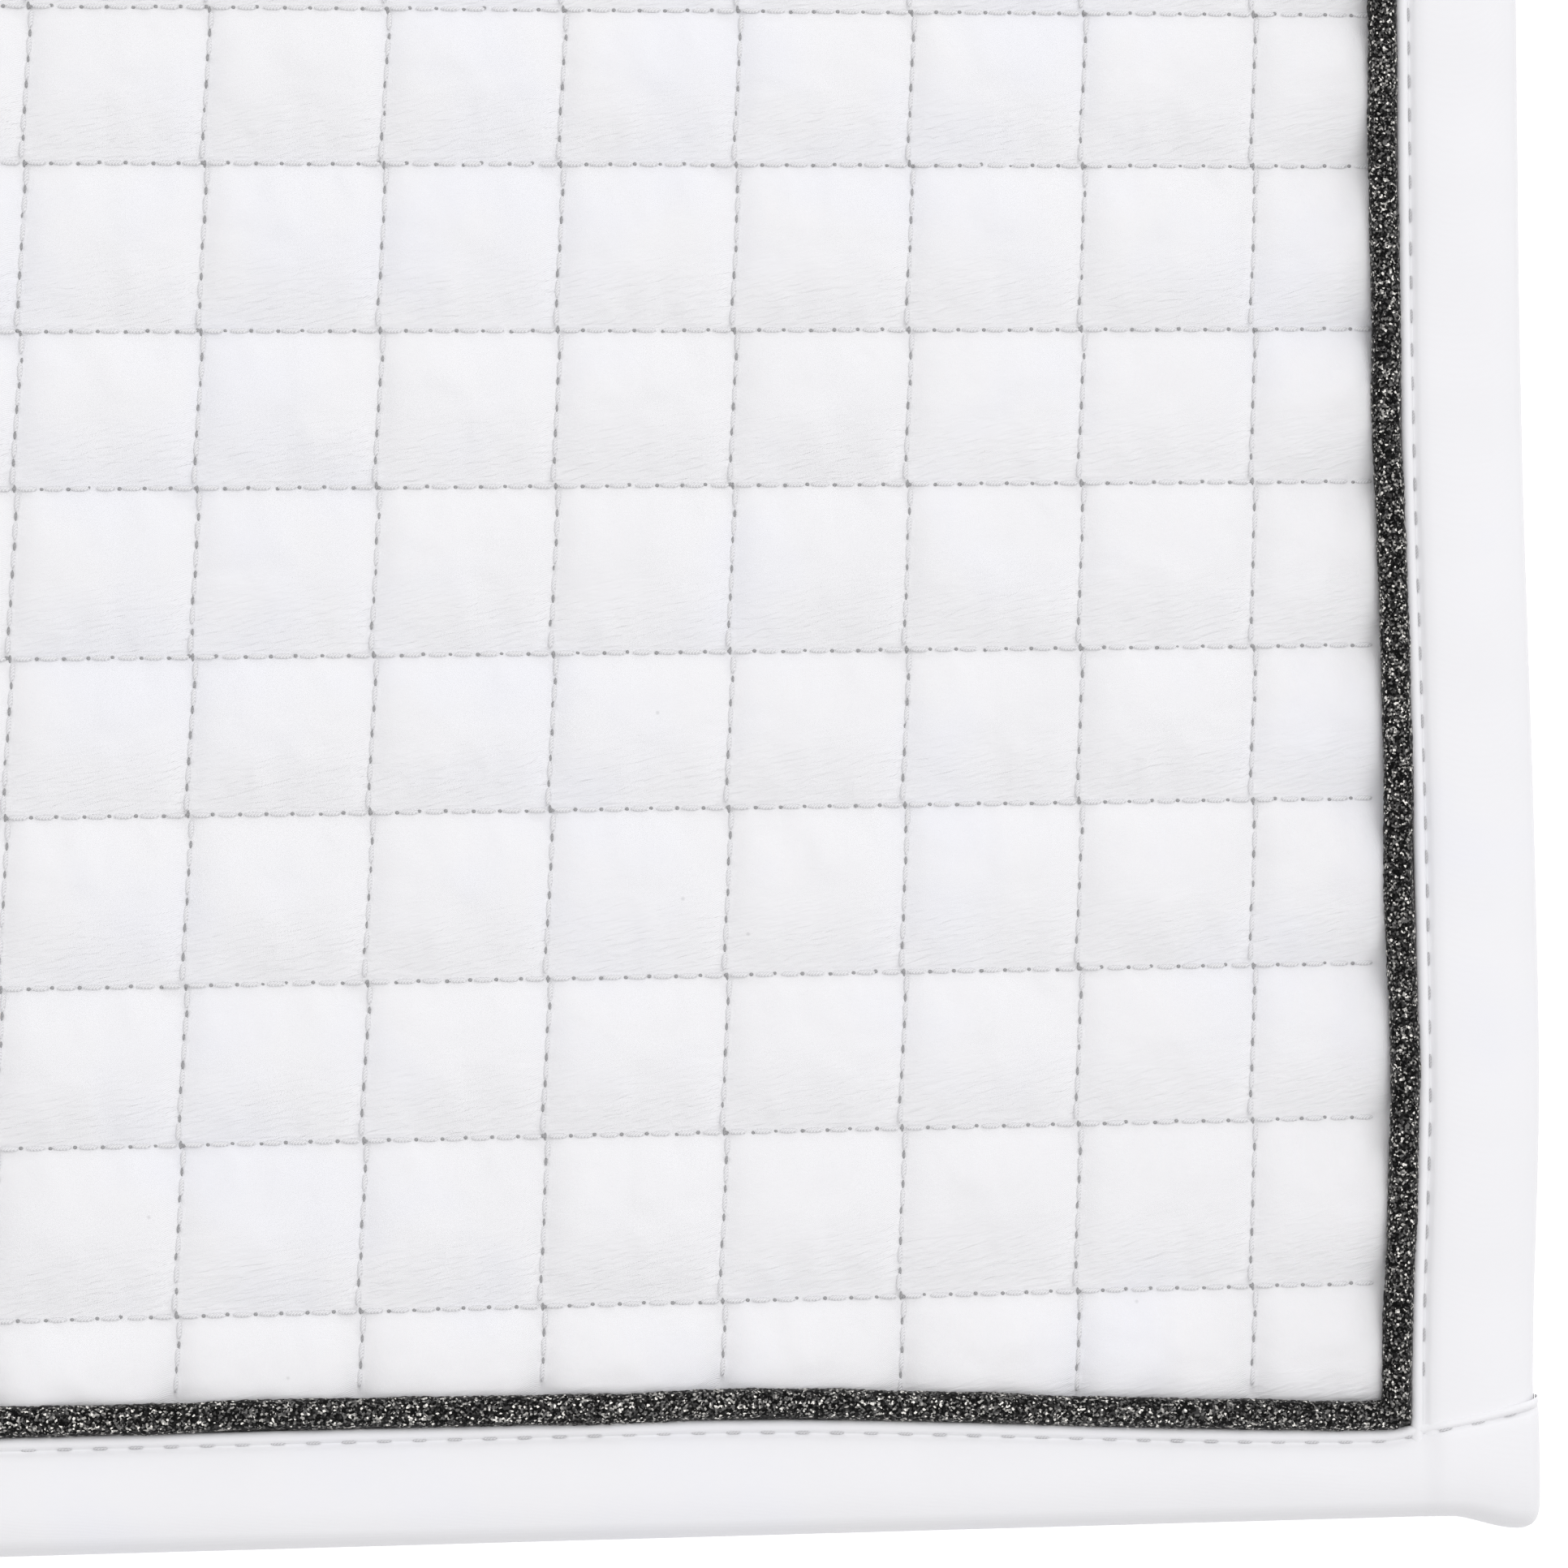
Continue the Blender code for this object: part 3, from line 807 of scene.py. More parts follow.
def add_quilting(name, side, outer, fine):
    """The lines of thread that quilt one skin, with dark pieces at the needle holes as painted shade."""
    a, b, down = seam_stations()
    step_a = np.where(down, 0, 0.5 / STITCHES_ACROSS)
    step_b = np.where(down, 0.5 / STITCHES_DOWN, 0)
    x0, v0 = quilt_place(a, b)
    x1, v1 = quilt_place(a + step_a, b + step_b * 0.98)
    inset = 0.0040 if outer else 0.0008
    keep = (from_lips(x1, v1) > inset) & (v1 > TAPE_REACH - 0.001)
    keep &= (from_lips(x0, v0) > inset) & (v0 > TAPE_REACH - 0.001)
    if outer:
        keep &= pressed(x1, v1) < 0.75
    a, b, down, x0, v0, x1, v1 = (c[keep] for c in (a, b, down, x0, v0, x1, v1))
    angle = np.where(down, math.pi / 2 + COLUMN_SLANT, 0.0)
    level = seam_level(v1, outer)
    near = fine & (a >= FINE_FROM) & (b >= FINE_FROM)
    lift = 0.00028 if outer else -0.00015
    fill = np.where(near, THREAD_FILL, 0.0)
    draw = np.random.default_rng(int(1e4) + side)
    slip = HOLE_SLIP * draw.normal(size=len(x0))
    x0, v0 = x0 + np.where(down, 0.3 * slip, slip), v0 + np.where(down, slip, 0.3 * slip)
    sink = HOLE_SINK * draw.normal(size=len(x0))
    groups = []
    for mask, thread, hole_shade in ((near, FINE_THREAD, FINE_HOLE_SHADE), (~near, CHEAP, CHEAP)):
        for way, half, more in ((False, ROW_THREAD, 0.00006), (True, COLUMN_THREAD, 0.00004)):
            pick = mask & (down == way)
            groups.append((thread, x1[pick], v1[pick], level[pick] + lift + more * outer + fill[pick],
                           angle[pick], half, 0))
            if outer:
                # dark pieces at the needle holes, on the cover only: painted shade of the holes
                size = COLUMN_HOLE_SHADE if way else ROW_HOLE_SHADE
                out = np.where(near[pick], 0.00028, 0.0001) if way else 0.00012 + fill[pick]
                groups.append((hole_shade, x0[pick], v0[pick], level[pick] + sink[pick] + out,
                               angle[pick], size, 1))
    return stamped(name, side, groups, [THREAD, HOLE_SHADE])


# ---- bindings

ROUND_START = 0.0042
LIP_ROLL = 0.0018
GROOVE_DEPTH = 0.00075
ROLL_END = 0.0031
FACE_END = 0.0062
FROM_LIP = np.array([0, 0.0001, 0.00025, 0.0005, 0.0008, 0.0011, 0.00135, 0.0016, 0.00185, 0.0021,
                     0.0025, 0.0031, 0.0041, 0.0056, 0.0074, 0.0090, 0.0104])


def face_relief():
    """The height of the binding's outer face from its lip on: a roll, a groove and a crown."""
    roll = -GROOVE_DEPTH + GROOVE_DEPTH * np.sqrt(np.clip(np.sin(math.pi * FROM_LIP / LIP_ROLL), 0, 1))
    rise = smooth((FROM_LIP - LIP_ROLL) / 0.0011)
    crown = 0.0004 * np.sin(math.pi * np.clip((FROM_LIP - LIP_ROLL) / 0.0115, 0, 1))
    beyond = -GROOVE_DEPTH * (1 - rise) + crown
    return np.where(FROM_LIP <= LIP_ROLL, roll, beyond), crown


def tape_section(outer_w, lip, swell, squeeze=1.0):
    """The folded binding across an edge: (inset from the edge, w) of each point, for each place along it.

    Where squeeze is under 1 the lip's roll is that much narrower.
    """
    outer_w, lip, swell, squeeze = (c[:, None] for c in np.broadcast_arrays(
        *(np.atleast_1d(c).astype(float) for c in (outer_w, lip, swell, squeeze))))
    relief, crown = face_relief()
    rolled = np.minimum(FROM_LIP, ROLL_END)
    stretch = (lip - FACE_END - ROLL_END * squeeze) / (FROM_LIP[-1] - ROLL_END)
    inset_face = lip - rolled * squeeze - (FROM_LIP - rolled) * stretch
    w_face = outer_w + relief + crown * (swell - 1)
    # the rounded edge, from the outer face round to the inner one
    turn = np.linspace(0.07, 1.0, 14) * math.pi
    middle, half = (outer_w + INNER_FACE) / 2, (outer_w - INNER_FACE) / 2
    round_inset = ROUND_START * (1 - np.abs(np.sin(turn)) ** 0.85) + 0 * outer_w
    round_w = middle + half * np.cos(turn)
    inner_inset = lip * np.array([0.40, 0.60, 0.80, 0.88, 0.92, 0.96, 0.985, 1.0])
    inner_w = INNER_FACE + np.array([0, 0, 0, 0.00025, 0.00025, 0, 0.0001, 0.0005]) + 0 * outer_w
    # the hidden side of the tape, walked back to the outer lip
    share = np.array([0.98, 0.8, 0.5])
    hidden_inset = np.concatenate([lip * share, ROUND_START * np.array([0.75, 0.42, 0.75]) + 0 * lip,
                                   lip * share[::-1]], axis=1)
    low, high = INNER_FACE + TAPE_WALL + 0 * lip, outer_w - 0.0012
    hidden_w = np.concatenate([low, low, low, low + 0.0006, middle, high - 0.0006, high, high, high],
                              axis=1)
    return (np.concatenate([inset_face, round_inset, inner_inset, hidden_inset], axis=1),
            np.concatenate([w_face, round_w, inner_w, hidden_w], axis=1))


def run_down(end, fine_from=None, step=0.004, fine_step=0.001):
    """Places along a flap from the fold to its end, closer together where asked."""
    lines = [np.linspace(0.0, SHOULDER_END, 9)[:-1]]
    split = end if fine_from is None else fine_from
    lines.append(np.arange(SHOULDER_END, split, step))
    if fine_from is not None:
        lines.append(np.arange(split, end, fine_step))
    return np.concatenate(lines + [[end]])


RIDGE_TURNS = np.linspace(-ARC_HALF, ARC_HALF, 11)[1:-1]
RIDGE_LAY = RIDGE_TURNS * 0.005


def add_edge_piece(name, section_at, near_v, off_v, material):
    """A body that runs up the near flap's edge, over the ridge and down the off flap's.

    section_at(v, along) gives x and w of each section point at each v; along is signed.
    """
    rings, lays = [], []
    for side, v in ((NEAR, near_v[::-1]), (0, np.zeros(len(RIDGE_TURNS))), (OFF, off_v)):
        x, w = section_at(v, side * v)
        if side:
            rings.append(place(side, x, v[:, None], w))
        else:
            rings.append(over_ridge(x, RIDGE_TURNS[:, None], w))
        down = -side * v if side else RIDGE_LAY
        lays.append(np.stack(np.broadcast_arrays(x, down[:, None], w), -1))
    return swept(name, np.concatenate(rings), material, np.concatenate(lays))


def add_side_binding(name, edge, inward, seed, fine):
    def section_at(v, along):
        swell = 1 + 0.5 * ripple(along, 0.05, seed + 1)
        outer_w = BINDING_OUTER - shoulder(v) + SIDE_UNEVEN * ripple(along, 0.03, seed + 2)
        inset, w = tape_section(outer_w, SIDE_WIDTH, swell)
        return edge(v)[:, None] + inward * inset, w

    end = HEM - 0.009
    near_v = run_down(end, FINE_V if fine else None)
    item = add_edge_piece(name, section_at, near_v, run_down(end), TAPE)
    side = "rear" if inward < 0 else "front"
    over_spine(item, "binding_tape", f"near_{side}_binding", f"off_{side}_binding")


def add_bottom_binding(side, prefix, fine, seed):
    cap = 0.0030
    ends = BOTTOM_FRONT_X - 0.0004, REAR_X + 0.0006
    middle = np.arange(ends[0] + cap, ends[1] - cap, 0.004)
    if fine:
        middle = np.concatenate([middle[middle < FINE_X], np.arange(FINE_X, ends[1] - cap, 0.001)])
    turn = np.linspace(0, math.pi / 2, 7)
    x = np.concatenate([ends[0] + cap * (1 - np.sin(turn[::-1])), middle[1:],
                        ends[1] - cap * (1 - np.sin(turn))])
    over = np.clip(np.maximum((ends[0] + cap - x) / cap, (x - (ends[1] - cap)) / cap), 0, 1)
    thin = np.sqrt(np.maximum(1 - over ** 2, 0.0))
    lap = np.maximum(smooth((x - (REAR_X - 0.0175)) / 0.003),
                     smooth(((BOTTOM_FRONT_X + 0.0175) - x) / 0.003))
    outer_w = BINDING_OUTER + LAP_HEIGHT * lap + 0.0001 * ripple(x, 0.03, seed)
    lip = bottom_lip(x)
    inset, w = tape_section(outer_w, lip, 1 + 0.4 * ripple(x, 0.05, seed + 2), lap_squeeze(x))
    hem = HEM + corner_hang(x) - 0.0026 * (1 - thin)
    centre = (outer_w + INNER_FACE)[:, None] / 2
    w = centre + (w - centre) * np.maximum(thin, 0.03)[:, None]
    v = hem[:, None] - inset * ((hem - HEM + lip) / lip)[:, None]
    item = swept_flat(prefix + "_bottom_binding_tape", side, x[:, None], v, w, TAPE)
    on_flap(item, prefix, "binding_tape", "bottom_binding")


# ---- piping

RING = np.arange(32) * 2 * math.pi / 32  # angles round the piping


def grainy_radius(along, grain_seed, wave_seed):
    """The piping's radius all round, at each place along it: small lumps on slow waves."""
    lumps = np.random.default_rng(grain_seed).uniform(-1, 1, (len(along), len(RING)))
    waves = 1 + 0.03 * ripple(along, 0.012, wave_seed)
    return PIPING_RADIUS * (1 + 0.055 * lumps) * waves[:, None]


def add_side_piping(name, edge, inward, seed, fine):
    def section_at(v, along):
        inset = SIDE_WIDTH + PIPING_RADIUS + 0.0003 * ripple(along, 0.06, seed)
        radius = grainy_radius(along, seed + len(v), seed + 4)
        x = (edge(v) + inward * inset)[:, None] + radius * np.cos(RING)
        w = (PIPING_HEIGHT - shoulder(v))[:, None] + radius * np.sin(RING)
        return x, w

    end = HEM - 0.0140
    near_v = run_down(end, FINE_V if fine else None, 0.003, 0.0005)
    item = add_edge_piece(name, section_at, near_v, run_down(end, step=0.003), GLITTER)
    side = "rear" if inward < 0 else "front"
    nodes = [f"{p}_{side}_piping_{part}" for p in ("near", "off") for part in ("sleeve", "cord")]
    over_spine(item, "glitter_piping", *nodes)


def add_bottom_piping(side, prefix, fine, seed):
    ends = BOTTOM_FRONT_X + 0.0214, REAR_X - 0.0214
    x = np.arange(ends[0], ends[1], 0.003)
    if fine:
        x = np.concatenate([x[x < FINE_X], np.arange(FINE_X, ends[1], 0.0005)])
    radius = grainy_radius(x, seed, seed + 4)
    line = BINDING_WIDTH - narrowing(x) + PIPING_RADIUS + 0.0002 * ripple(x, 0.06, seed + 5)
    v = (HEM - line)[:, None] + radius * np.cos(RING)
    w = PIPING_HEIGHT + radius * np.sin(RING)
    item = swept_flat(prefix + "_bottom_glitter_piping", side, x[:, None], v, w, GLITTER)
    on_flap(item, prefix, "glitter_piping", "bottom_piping_sleeve", "bottom_piping_cord")


# ---- spine

SPINE_ENDS = SPINE_FRONT_X + SIDE_WIDTH + 0.0030, REAR_X - SIDE_WIDTH - 0.0030
TAPE_TOP = 0.0129
RIDGE_TOP = 0.0053
TAPE_GROOVE = 0.87  # where the tapes' stitches lie, as a share of their reach


def tape_x(x, v):
    """x on a spine tape at v, stretched so that its ends follow the pad's edges."""
    share = (x - SPINE_FRONT_X) / (REAR_X - SPINE_FRONT_X)
    return x + (front_edge(v) - SPINE_FRONT_X) * (1 - share) + (rear_edge(v) - REAR_X) * share


def tape_line(side, x, v, w):
    """One line along a spine tape, in the pad's frame and in its own flat frame."""
    lay = np.stack(np.broadcast_arrays(x, side * v, w), -1)
    return place(side, tape_x(x, v), v, w), lay


def sew_tape(name, lines, stands_for):
    """A spine tape through its lines, which go round it."""
    rings, lay = (np.stack(part, axis=1) for part in zip(*lines))
    over_spine(swept(name, rings, TAPE, lay), "binding_tape", stands_for)


def add_outer_tape():
    x = np.arange(SPINE_ENDS[0], SPINE_ENDS[1], 0.003)
    lines = []
    down = TAPE_REACH * np.array([1.0, 0.985, 0.95, 0.90, 0.86, 0.82, 0.76, 0.6, 0.42, 0.26,
                                  0.12, 0.02])
    share = down / TAPE_REACH
    top = TAPE_TOP - shoulder(down) - 0.0004 * np.exp(-((share - TAPE_GROOVE) / 0.03) ** 2)
    top = top - 0.0004 * smooth((share - 0.95) / 0.05)
    for side, order in ((NEAR, slice(None)), (OFF, slice(None, None, -1))):
        for v, w, part in zip(down[order], top[order], share[order]):
            wave = 0.00025 * ripple(x, 0.02, 70 + side) * part * (1 - part) * 4
            reach = v + 0.0003 * ripple(x, 0.05, 75 + side) * part
            lines.append((place(side, tape_x(x, v), reach, w + wave),
                          np.stack([x, side * reach, x * 0 + w], -1)))
        if side == NEAR:
            for turn, flat in zip(RIDGE_TURNS, RIDGE_LAY):
                w = RIDGE_TOP + 0.0002 * ripple(x, 0.04, 79)
                lines.append((over_ridge(x, turn, w), np.stack([x, x * 0 + flat, w], -1)))
    for side, order in ((OFF, slice(None)), (NEAR, slice(None, None, -1))):
        for v, w in list(zip(down[1::2], top[1::2]))[order]:
            lines.append(tape_line(side, x, v, w - TAPE_THICKNESS))
        if side == OFF:
            for turn, flat in zip(RIDGE_TURNS[::-1], RIDGE_LAY[::-1]):
                lines.append((over_ridge(x, turn, RIDGE_TOP - TAPE_THICKNESS),
                              np.stack([x, x * 0 + flat, x * 0], -1)))
    sew_tape("spine_outer_tape_cloth", lines, "spine_outer_tape")


def add_inner_tape():
    x = np.linspace(SPINE_ENDS[0] - 0.008, SPINE_ENDS[1] + 0.008, 150)
    from_end = np.minimum(x - SPINE_FRONT_X, REAR_X - x)
    tuck = TUCK * (1 - smooth((from_end - SIDE_WIDTH + 0.0005) / 0.004))
    down = np.array([1.0, 0.97, 0.9, 0.86, 0.82, 0.7, 0.5, 0.3, 0.12, 0.03]) * TAPE_REACH
    share = down / TAPE_REACH
    low = INNER_FACE + 0.00025 * np.exp(-((share - TAPE_GROOVE) / 0.03) ** 2)
    lines = []
    for side, order in ((NEAR, slice(None)), (OFF, slice(None, None, -1))):
        for v, w in zip(down[order], low[order]):
            wave = 0.0001 * (1 + ripple(x, 0.02, 90 + side)) * (v > 0.003) + tuck
            lines.append(tape_line(side, x, v, w + wave))
    for side, order in ((OFF, slice(None)), (NEAR, slice(None, None, -1))):
        for v in down[1::2][order]:
            lines.append(tape_line(side, x, v, INNER_FACE + TAPE_THICKNESS + tuck))
    sew_tape("spine_inner_tape_cloth", lines, "spine_inner_tape")


# ---- loops, straps and patches

WEB_THICKNESS = 0.0014
PATCH_THICKNESS = 0.0012
COVER_FACE = 0.0120


def ribbon(name, side, path, width, mid, along_x):
    """A webbing band through path, rows of (along, w); width runs the other way in the flap's plane."""
    path = np.asarray(path)
    tangent = np.gradient(path, axis=0)
    tangent /= np.linalg.norm(tangent, axis=1)[:, None]
    normal = np.stack([-tangent[:, 1], tangent[:, 0]], axis=1)
    half, thick = width / 2, WEB_THICKNESS / 2
    spread = np.array([-1, -0.97, -0.9, -0.6, -0.2, 0.2, 0.6, 0.9, 0.97, 1])
    height = np.array([0.0, 0.65, 1, 0.95, 0.9, 0.9, 0.95, 1, 0.65, 0.0])
    beside = np.concatenate([spread, spread[-2:0:-1]]) * half
    raised = np.concatenate([height, -height[-2:0:-1]]) * thick
    nubs = 0.00012 * np.random.default_rng(int(width * 1e5)).uniform(-1, 1, (len(path), 1))
    beside = beside[None, :] * (1 + nubs / half)
    along = path[:, :1] + normal[:, :1] * raised
    w = path[:, 1:] + normal[:, 1:] * raised
    x, v = (along, mid + beside) if along_x else (mid + beside, along)
    return swept_flat(name, side, x, v, w, WEBBING)


def add_girth_loop(side, prefix):
    flat = LOOP_HALF - LOOP_TAB
    x = np.linspace(-LOOP_HALF, LOOP_HALF, 111)
    rise = smooth((flat - np.abs(x)) / 0.016)
    crown = 0.0006 * np.cos(x / flat * math.pi / 2) * (np.abs(x) < flat)
    w = COVER_FACE + WEB_THICKNESS / 2 + 0.0145 * rise - crown
    item = ribbon(prefix + "_girth_loop_band", side, np.stack([LOOP_X + x, w], -1),
                  LOOP_WIDTH, LOOP_V, True)
    on_flap(item, prefix, "webbing", "girth_loop")


def add_patch(name, side, middle, size, low, material, rounding=0.002):
    """A flat rounded patch from w = low outwards, through steps of (inset, share of its height)."""
    turn = np.linspace(0, 2 * math.pi, 64, endpoint=False)
    reach = np.array(size) / 2 - rounding
    corner = np.stack([np.cos(turn), np.sin(turn)], -1)
    outline = np.sign(corner) * reach * (np.abs(corner) > 1e-9) + corner * rounding
    steps = ((0.0002, 0.0), (0.0, 0.3), (0.0, 0.7), (0.0002, 0.93), (0.0006, 1.0), (0.0016, 1.0))
    inset, height = (np.array(c) for c in zip(*steps))
    shrink = 1 - inset[:, None, None] / (np.array(size) / 2)
    x, v = np.moveaxis(np.array(middle) + outline * shrink, -1, 0)
    return swept_flat(name, side, x, v, low + PATCH_THICKNESS * height[:, None], material)


def add_strap(side, prefix):
    body = prefix + "_strap"
    v = np.linspace(STRAP_V - 0.023, STRAP_V + STRAP_LENGTH, 129)
    lift = 0.0015 * smooth((v - STRAP_V - 0.012) / 0.028)
    wave = 0.0003 * np.sin((v - STRAP_V) / 0.02) * (v > STRAP_V + 0.015)
    path = np.stack([v, STRAP_W + lift + wave], -1)
    strap = ribbon(prefix + "_strap_band", side, path, STRAP_WIDTH, STRAP_X, False)
    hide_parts(prefix + "_strap_webbing")
    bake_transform(strap)

    anchor = add_patch(prefix + "_anchor_patch", side, (STRAP_X, ANCHOR_V), (0.029, 0.026),
                       COVER_FACE, WEBBING)
    on_flap(anchor, prefix, "webbing", "strap_anchor")
    middle, size = (STRAP_X, PATCH_V), (0.023, 0.050)
    loops = add_patch(prefix + "_loop_tape_patch", side, middle, size, COVER_FACE, LOOPS)
    on_flap(loops, prefix, "hook_and_loop", "loop_patch")
    hooks = add_patch(prefix + "_hook_tape_patch", side, middle, size, 0.0137, HOOKS)
    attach(hooks, body)
    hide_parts(prefix + "_strap_hook_patch")


# ---- sewn lines

EDGES = (rear_edge, -1), (front_edge, 1)
SEWN_SIZE, SEWN_PITCH = (0.00105, 0.00022, 0.00022), 0.0027


def line_stations(points, pitch):
    """Stitches along a line through points (x, v, w): their middles and directions."""
    points = np.asarray(points, float)
    steps = np.linalg.norm(np.diff(points, axis=0), axis=1)
    along = np.concatenate([[0], np.cumsum(steps)])
    at = np.arange(pitch / 2, along[-1], pitch)
    middle = np.stack([np.interp(at, along, points[:, n]) for n in range(3)], -1)
    ahead = np.stack([np.interp(at + pitch / 4, along, points[:, n]) for n in range(2)], -1)
    behind = np.stack([np.interp(at - pitch / 4, along, points[:, n]) for n in range(2)], -1)
    angle = np.arctan2(*(ahead - behind).T[::-1])
    return middle, angle


def sew(name, side, body, lines, material, half, pitch):
    """Stitches along lines, as one piece that rides a body."""
    groups = []
    for points in lines:
        middle, angle = line_stations(points, pitch)
        groups.append((FINE_THREAD, *middle.T, angle, half, 0))
    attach(stamped(name, side, groups, [material]), body)


def box_lines(mid_x, mid_v, half_x, half_v, w):
    """A box stitch: the outline and its two diagonals."""
    left, right, up, down = mid_x - half_x, mid_x + half_x, mid_v - half_v, mid_v + half_v
    outline = [(left, up, w), (right, up, w), (right, down, w), (left, down, w), (left, up, w)]
    return [outline, [(left, up, w), (right, down, w)], [(left, down, w), (right, up, w)]]


def add_edge_stitching(side, prefix):
    """The lines that hold the bindings, on the saddle's side and on the horse's side."""
    v = np.linspace(0.006, HEM - 0.0190, 160)
    x = np.linspace(BOTTOM_FRONT_X + 0.002, REAR_X - 0.002, 160)
    lines = []
    for edge, inward in EDGES:
        inset = SIDE_WIDTH - STITCH_BACK
        top = BINDING_OUTER - shoulder(v) - 0.00050
        lines.append(np.stack([edge(v) + inward * inset, v, top], -1))
    lap = LAP_HEIGHT * (1 - smooth((from_corner(x) - 0.0145) / 0.003))
    low = HEM - bottom_lip(x) + STITCH_BACK * lap_squeeze(x)
    lines.append(np.stack([x, low, BINDING_OUTER - 0.00050 + lap], -1))
    # the grey of these threads is painted shade of their stitch holes
    for name, some, thread in (("_binding_stitching", lines[:2], HOLE_SHADED_EDGE_THREAD),
                               ("_hem_stitching", lines[2:], HOLE_SHADED_HEM_THREAD)):
        sew(prefix + name, side, prefix + "_flap", some, thread, (0.00105, 0.00020, 0.00022), 0.0049)
    lines = []
    for edge, inward in EDGES:
        inset = BINDING_WIDTH - 0.0022
        lines.append(np.stack([edge(v) + inward * inset, v, 0 * v + INNER_FACE], -1))
    lines.append(np.stack([x, 0 * x + HEM - BINDING_WIDTH + 0.0046, 0 * x + INNER_FACE], -1))
    # grey thread here too: painted shade of the stitch holes
    sew(prefix + "_inner_binding_stitching", side, prefix + "_flap", lines, HOLE_SHADED_EDGE_THREAD,
        (0.0012, 0.00018, 0.00016), 0.0050)


def add_flap_sewing(side, prefix):
    """Box stitches on the girth loop's ends and the strap, and lines round the patches and tapes."""
    lines = []
    for end in (-1, 1):
        middle = LOOP_X + end * (LOOP_HALF - LOOP_TAB / 2)
        lines += box_lines(middle, LOOP_V, 0.005, 0.009, COVER_FACE + WEB_THICKNESS)
    lines += box_lines(STRAP_X, STRAP_V - 0.013, 0.010, 0.0075, STRAP_W + 0.0007)
    lines += box_lines(STRAP_X, PATCH_V, 0.0100, 0.0235, COVER_FACE + PATCH_THICKNESS)[:1]
    ends = SPINE_ENDS[0] + 0.004, SPINE_ENDS[1] - 0.004
    tape_v = TAPE_GROOVE * TAPE_REACH
    top = TAPE_TOP - float(shoulder(tape_v)) - 0.0003
    lines.append([(ends[0], tape_v, top), (ends[1], tape_v, top)])
    sew(prefix + "_sewn_lines", side, prefix + "_flap", lines, THREAD, SEWN_SIZE, SEWN_PITCH)
    inner = [[(ends[0], tape_v, INNER_FACE + 0.0002), (ends[1], tape_v, INNER_FACE + 0.0002)]]
    sew(prefix + "_inner_tape_stitching", side, prefix + "_flap", inner, THREAD,
        (0.00105, 0.00022, 0.00018), 0.0030)
    rim = box_lines(STRAP_X, PATCH_V, 0.0098, 0.0232, STRAP_W + 0.0015 + 0.0007)[:1]
    sew(prefix + "_strap_stitching", side, prefix + "_strap", rim, THREAD, SEWN_SIZE, SEWN_PITCH)


# ---- build

def build_flap(side, prefix):
    fine = side == NEAR
    seed = 100 if side == NEAR else 200
    cover = add_skin(prefix + "_quilted_cover", side, True, fine, seed)
    on_flap(cover, prefix, "cover_fabric", "outer_cover", "filling")
    lining = add_skin(prefix + "_quilted_lining", side, False, False, seed + 1)
    on_flap(lining, prefix, "lining_fabric", "lining")
    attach(add_quilting(prefix + "_cover_stitching", side, True, fine), prefix + "_flap")
    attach(add_quilting(prefix + "_lining_stitching", side, False, False), prefix + "_flap")
    add_bottom_binding(side, prefix, fine, seed + 2)
    add_bottom_piping(side, prefix, fine, seed + 3)
    add_girth_loop(side, prefix)
    add_strap(side, prefix)
    add_edge_stitching(side, prefix)
    add_flap_sewing(side, prefix)


build_flap(NEAR, "near")
build_flap(OFF, "off")
add_side_binding("rear_binding_tape", rear_edge, -1, 300, True)
add_side_binding("front_binding_tape", front_edge, 1, 310, False)
add_side_piping("rear_glitter_piping", rear_edge, -1, 320, True)
add_side_piping("front_glitter_piping", front_edge, 1, 330, False)
add_outer_tape()
add_inner_tape()


# ---- stage, light and camera

def add_stage():
    material, _, _ = new_material("floor_paint", Base_Color=(0.92, 0.92, 0.92, 1), Roughness=0.9,
                                  Emission_Color=(1, 1, 1, 1), Emission_Strength=0.62)
    half = 12.0
    corners = [(-half, -half, 0), (half, -half, 0), (half, half, 0), (-half, half, 0)]
    floor = add_piece("floor", corners, [(0, 1, 2, 3)], [material])
    floor.location.z = -0.0002
    floor.visible_diffuse = False


def add_light(name, kind, energy, place_, target, **settings):
    light = bpy.data.lights.new(name, kind)
    light.energy = energy
    for key, value in settings.items():
        setattr(light, key, value)
    item = bpy.data.objects.new(name, light)
    item.location = place_
    item.rotation_euler = (Vector(target) - Vector(place_)).to_track_quat("-Z", "Y").to_euler()
    bpy.context.scene.collection.objects.link(item)


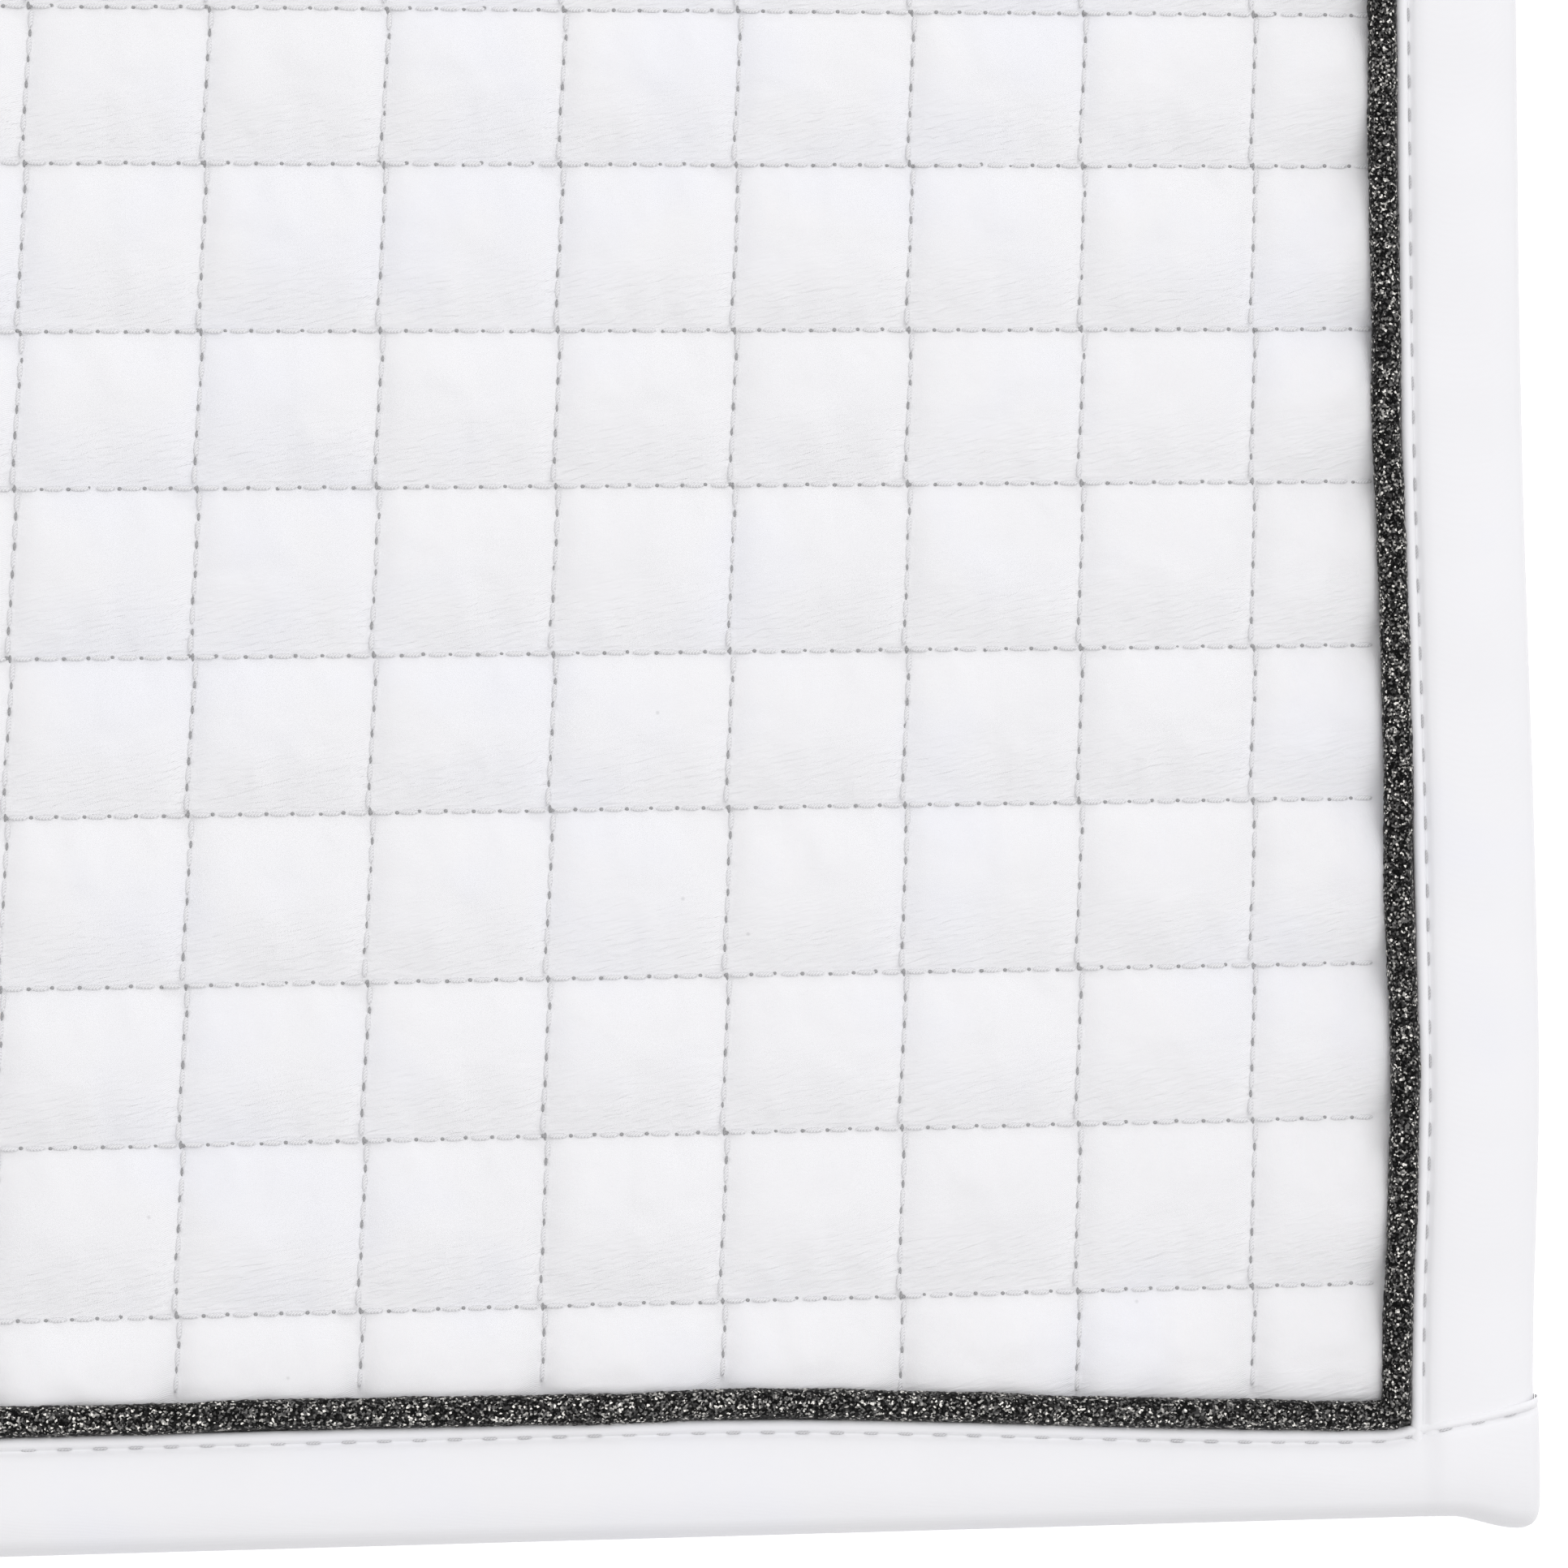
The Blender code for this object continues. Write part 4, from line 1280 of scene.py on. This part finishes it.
def add_lights():
    world = bpy.data.worlds.new("studio")
    bpy.context.scene.world = world
    world.use_nodes = True
    tree = world.node_tree
    direction = node(tree, "TexCoord")
    split = node(tree, "SeparateXYZ")
    tree.links.new(direction.outputs["Generated"], split.inputs["Vector"])
    height = math_node(tree, "MULTIPLY_ADD", split.outputs["Z"], 0.5, 0.5)
    sky = ramp(tree, height, [(0.30, (0.67, 0.665, 0.675)), (0.70, (1.01, 1.005, 1.025))])
    tree.links.new(sky, tree.nodes["Background"].inputs["Color"])
    add_light("key", "AREA", 5.8, (0.9, -1.2, 1.7), (0.1, -0.1, 0.2),
              shape="DISK", size=1.0, color=(0.985, 0.985, 1.0))
    add_light("back_fill", "AREA", 3.6, (0.7, 1.4, 1.5), (0.0, 0.1, 0.2),
              shape="DISK", size=1.2, color=(1.0, 0.99, 0.98))


YAW, PITCH, ROLL = math.radians(-7.75), math.radians(2.84), math.radians(0.84)
CAMERA_DISTANCE = 0.700
FOCAL_LENGTH = 113.5
LOOK_AT = (REAR_X - 0.1086, HEM - 0.1062)


def add_camera():
    """Faces the near flap's rear lower corner; its axes are worked out in the flap's flat frame."""
    back = np.array([math.sin(YAW) * math.cos(PITCH), math.sin(PITCH),
                     math.cos(YAW) * math.cos(PITCH)])
    right = np.cross((0, 1, 0), back)
    right /= np.linalg.norm(right)
    down = np.cross(back, right)
    image_x = math.cos(ROLL) * right + math.sin(ROLL) * down
    image_y = -math.sin(ROLL) * right + math.cos(ROLL) * down
    origin = place(NEAR, 0, 0, 0)
    axes = np.stack([place(NEAR, *axis) - origin for axis in np.eye(3)])
    eye = place(NEAR, *LOOK_AT, BINDING_OUTER) + CAMERA_DISTANCE * (back @ axes)
    turn = Matrix(np.stack([image_x @ axes, -image_y @ axes, back @ axes], axis=1).tolist())
    camera = bpy.data.cameras.new("camera")
    camera.lens = FOCAL_LENGTH
    camera.sensor_width = 36.0
    camera.clip_start = 0.01
    item = bpy.data.objects.new("camera", camera)
    item.matrix_world = Matrix.Translation(Vector(eye)) @ turn.to_4x4()
    bpy.context.scene.collection.objects.link(item)
    bpy.context.scene.camera = item


add_stage()
add_lights()
add_camera()
bpy.context.scene.view_settings.view_transform = "Standard"
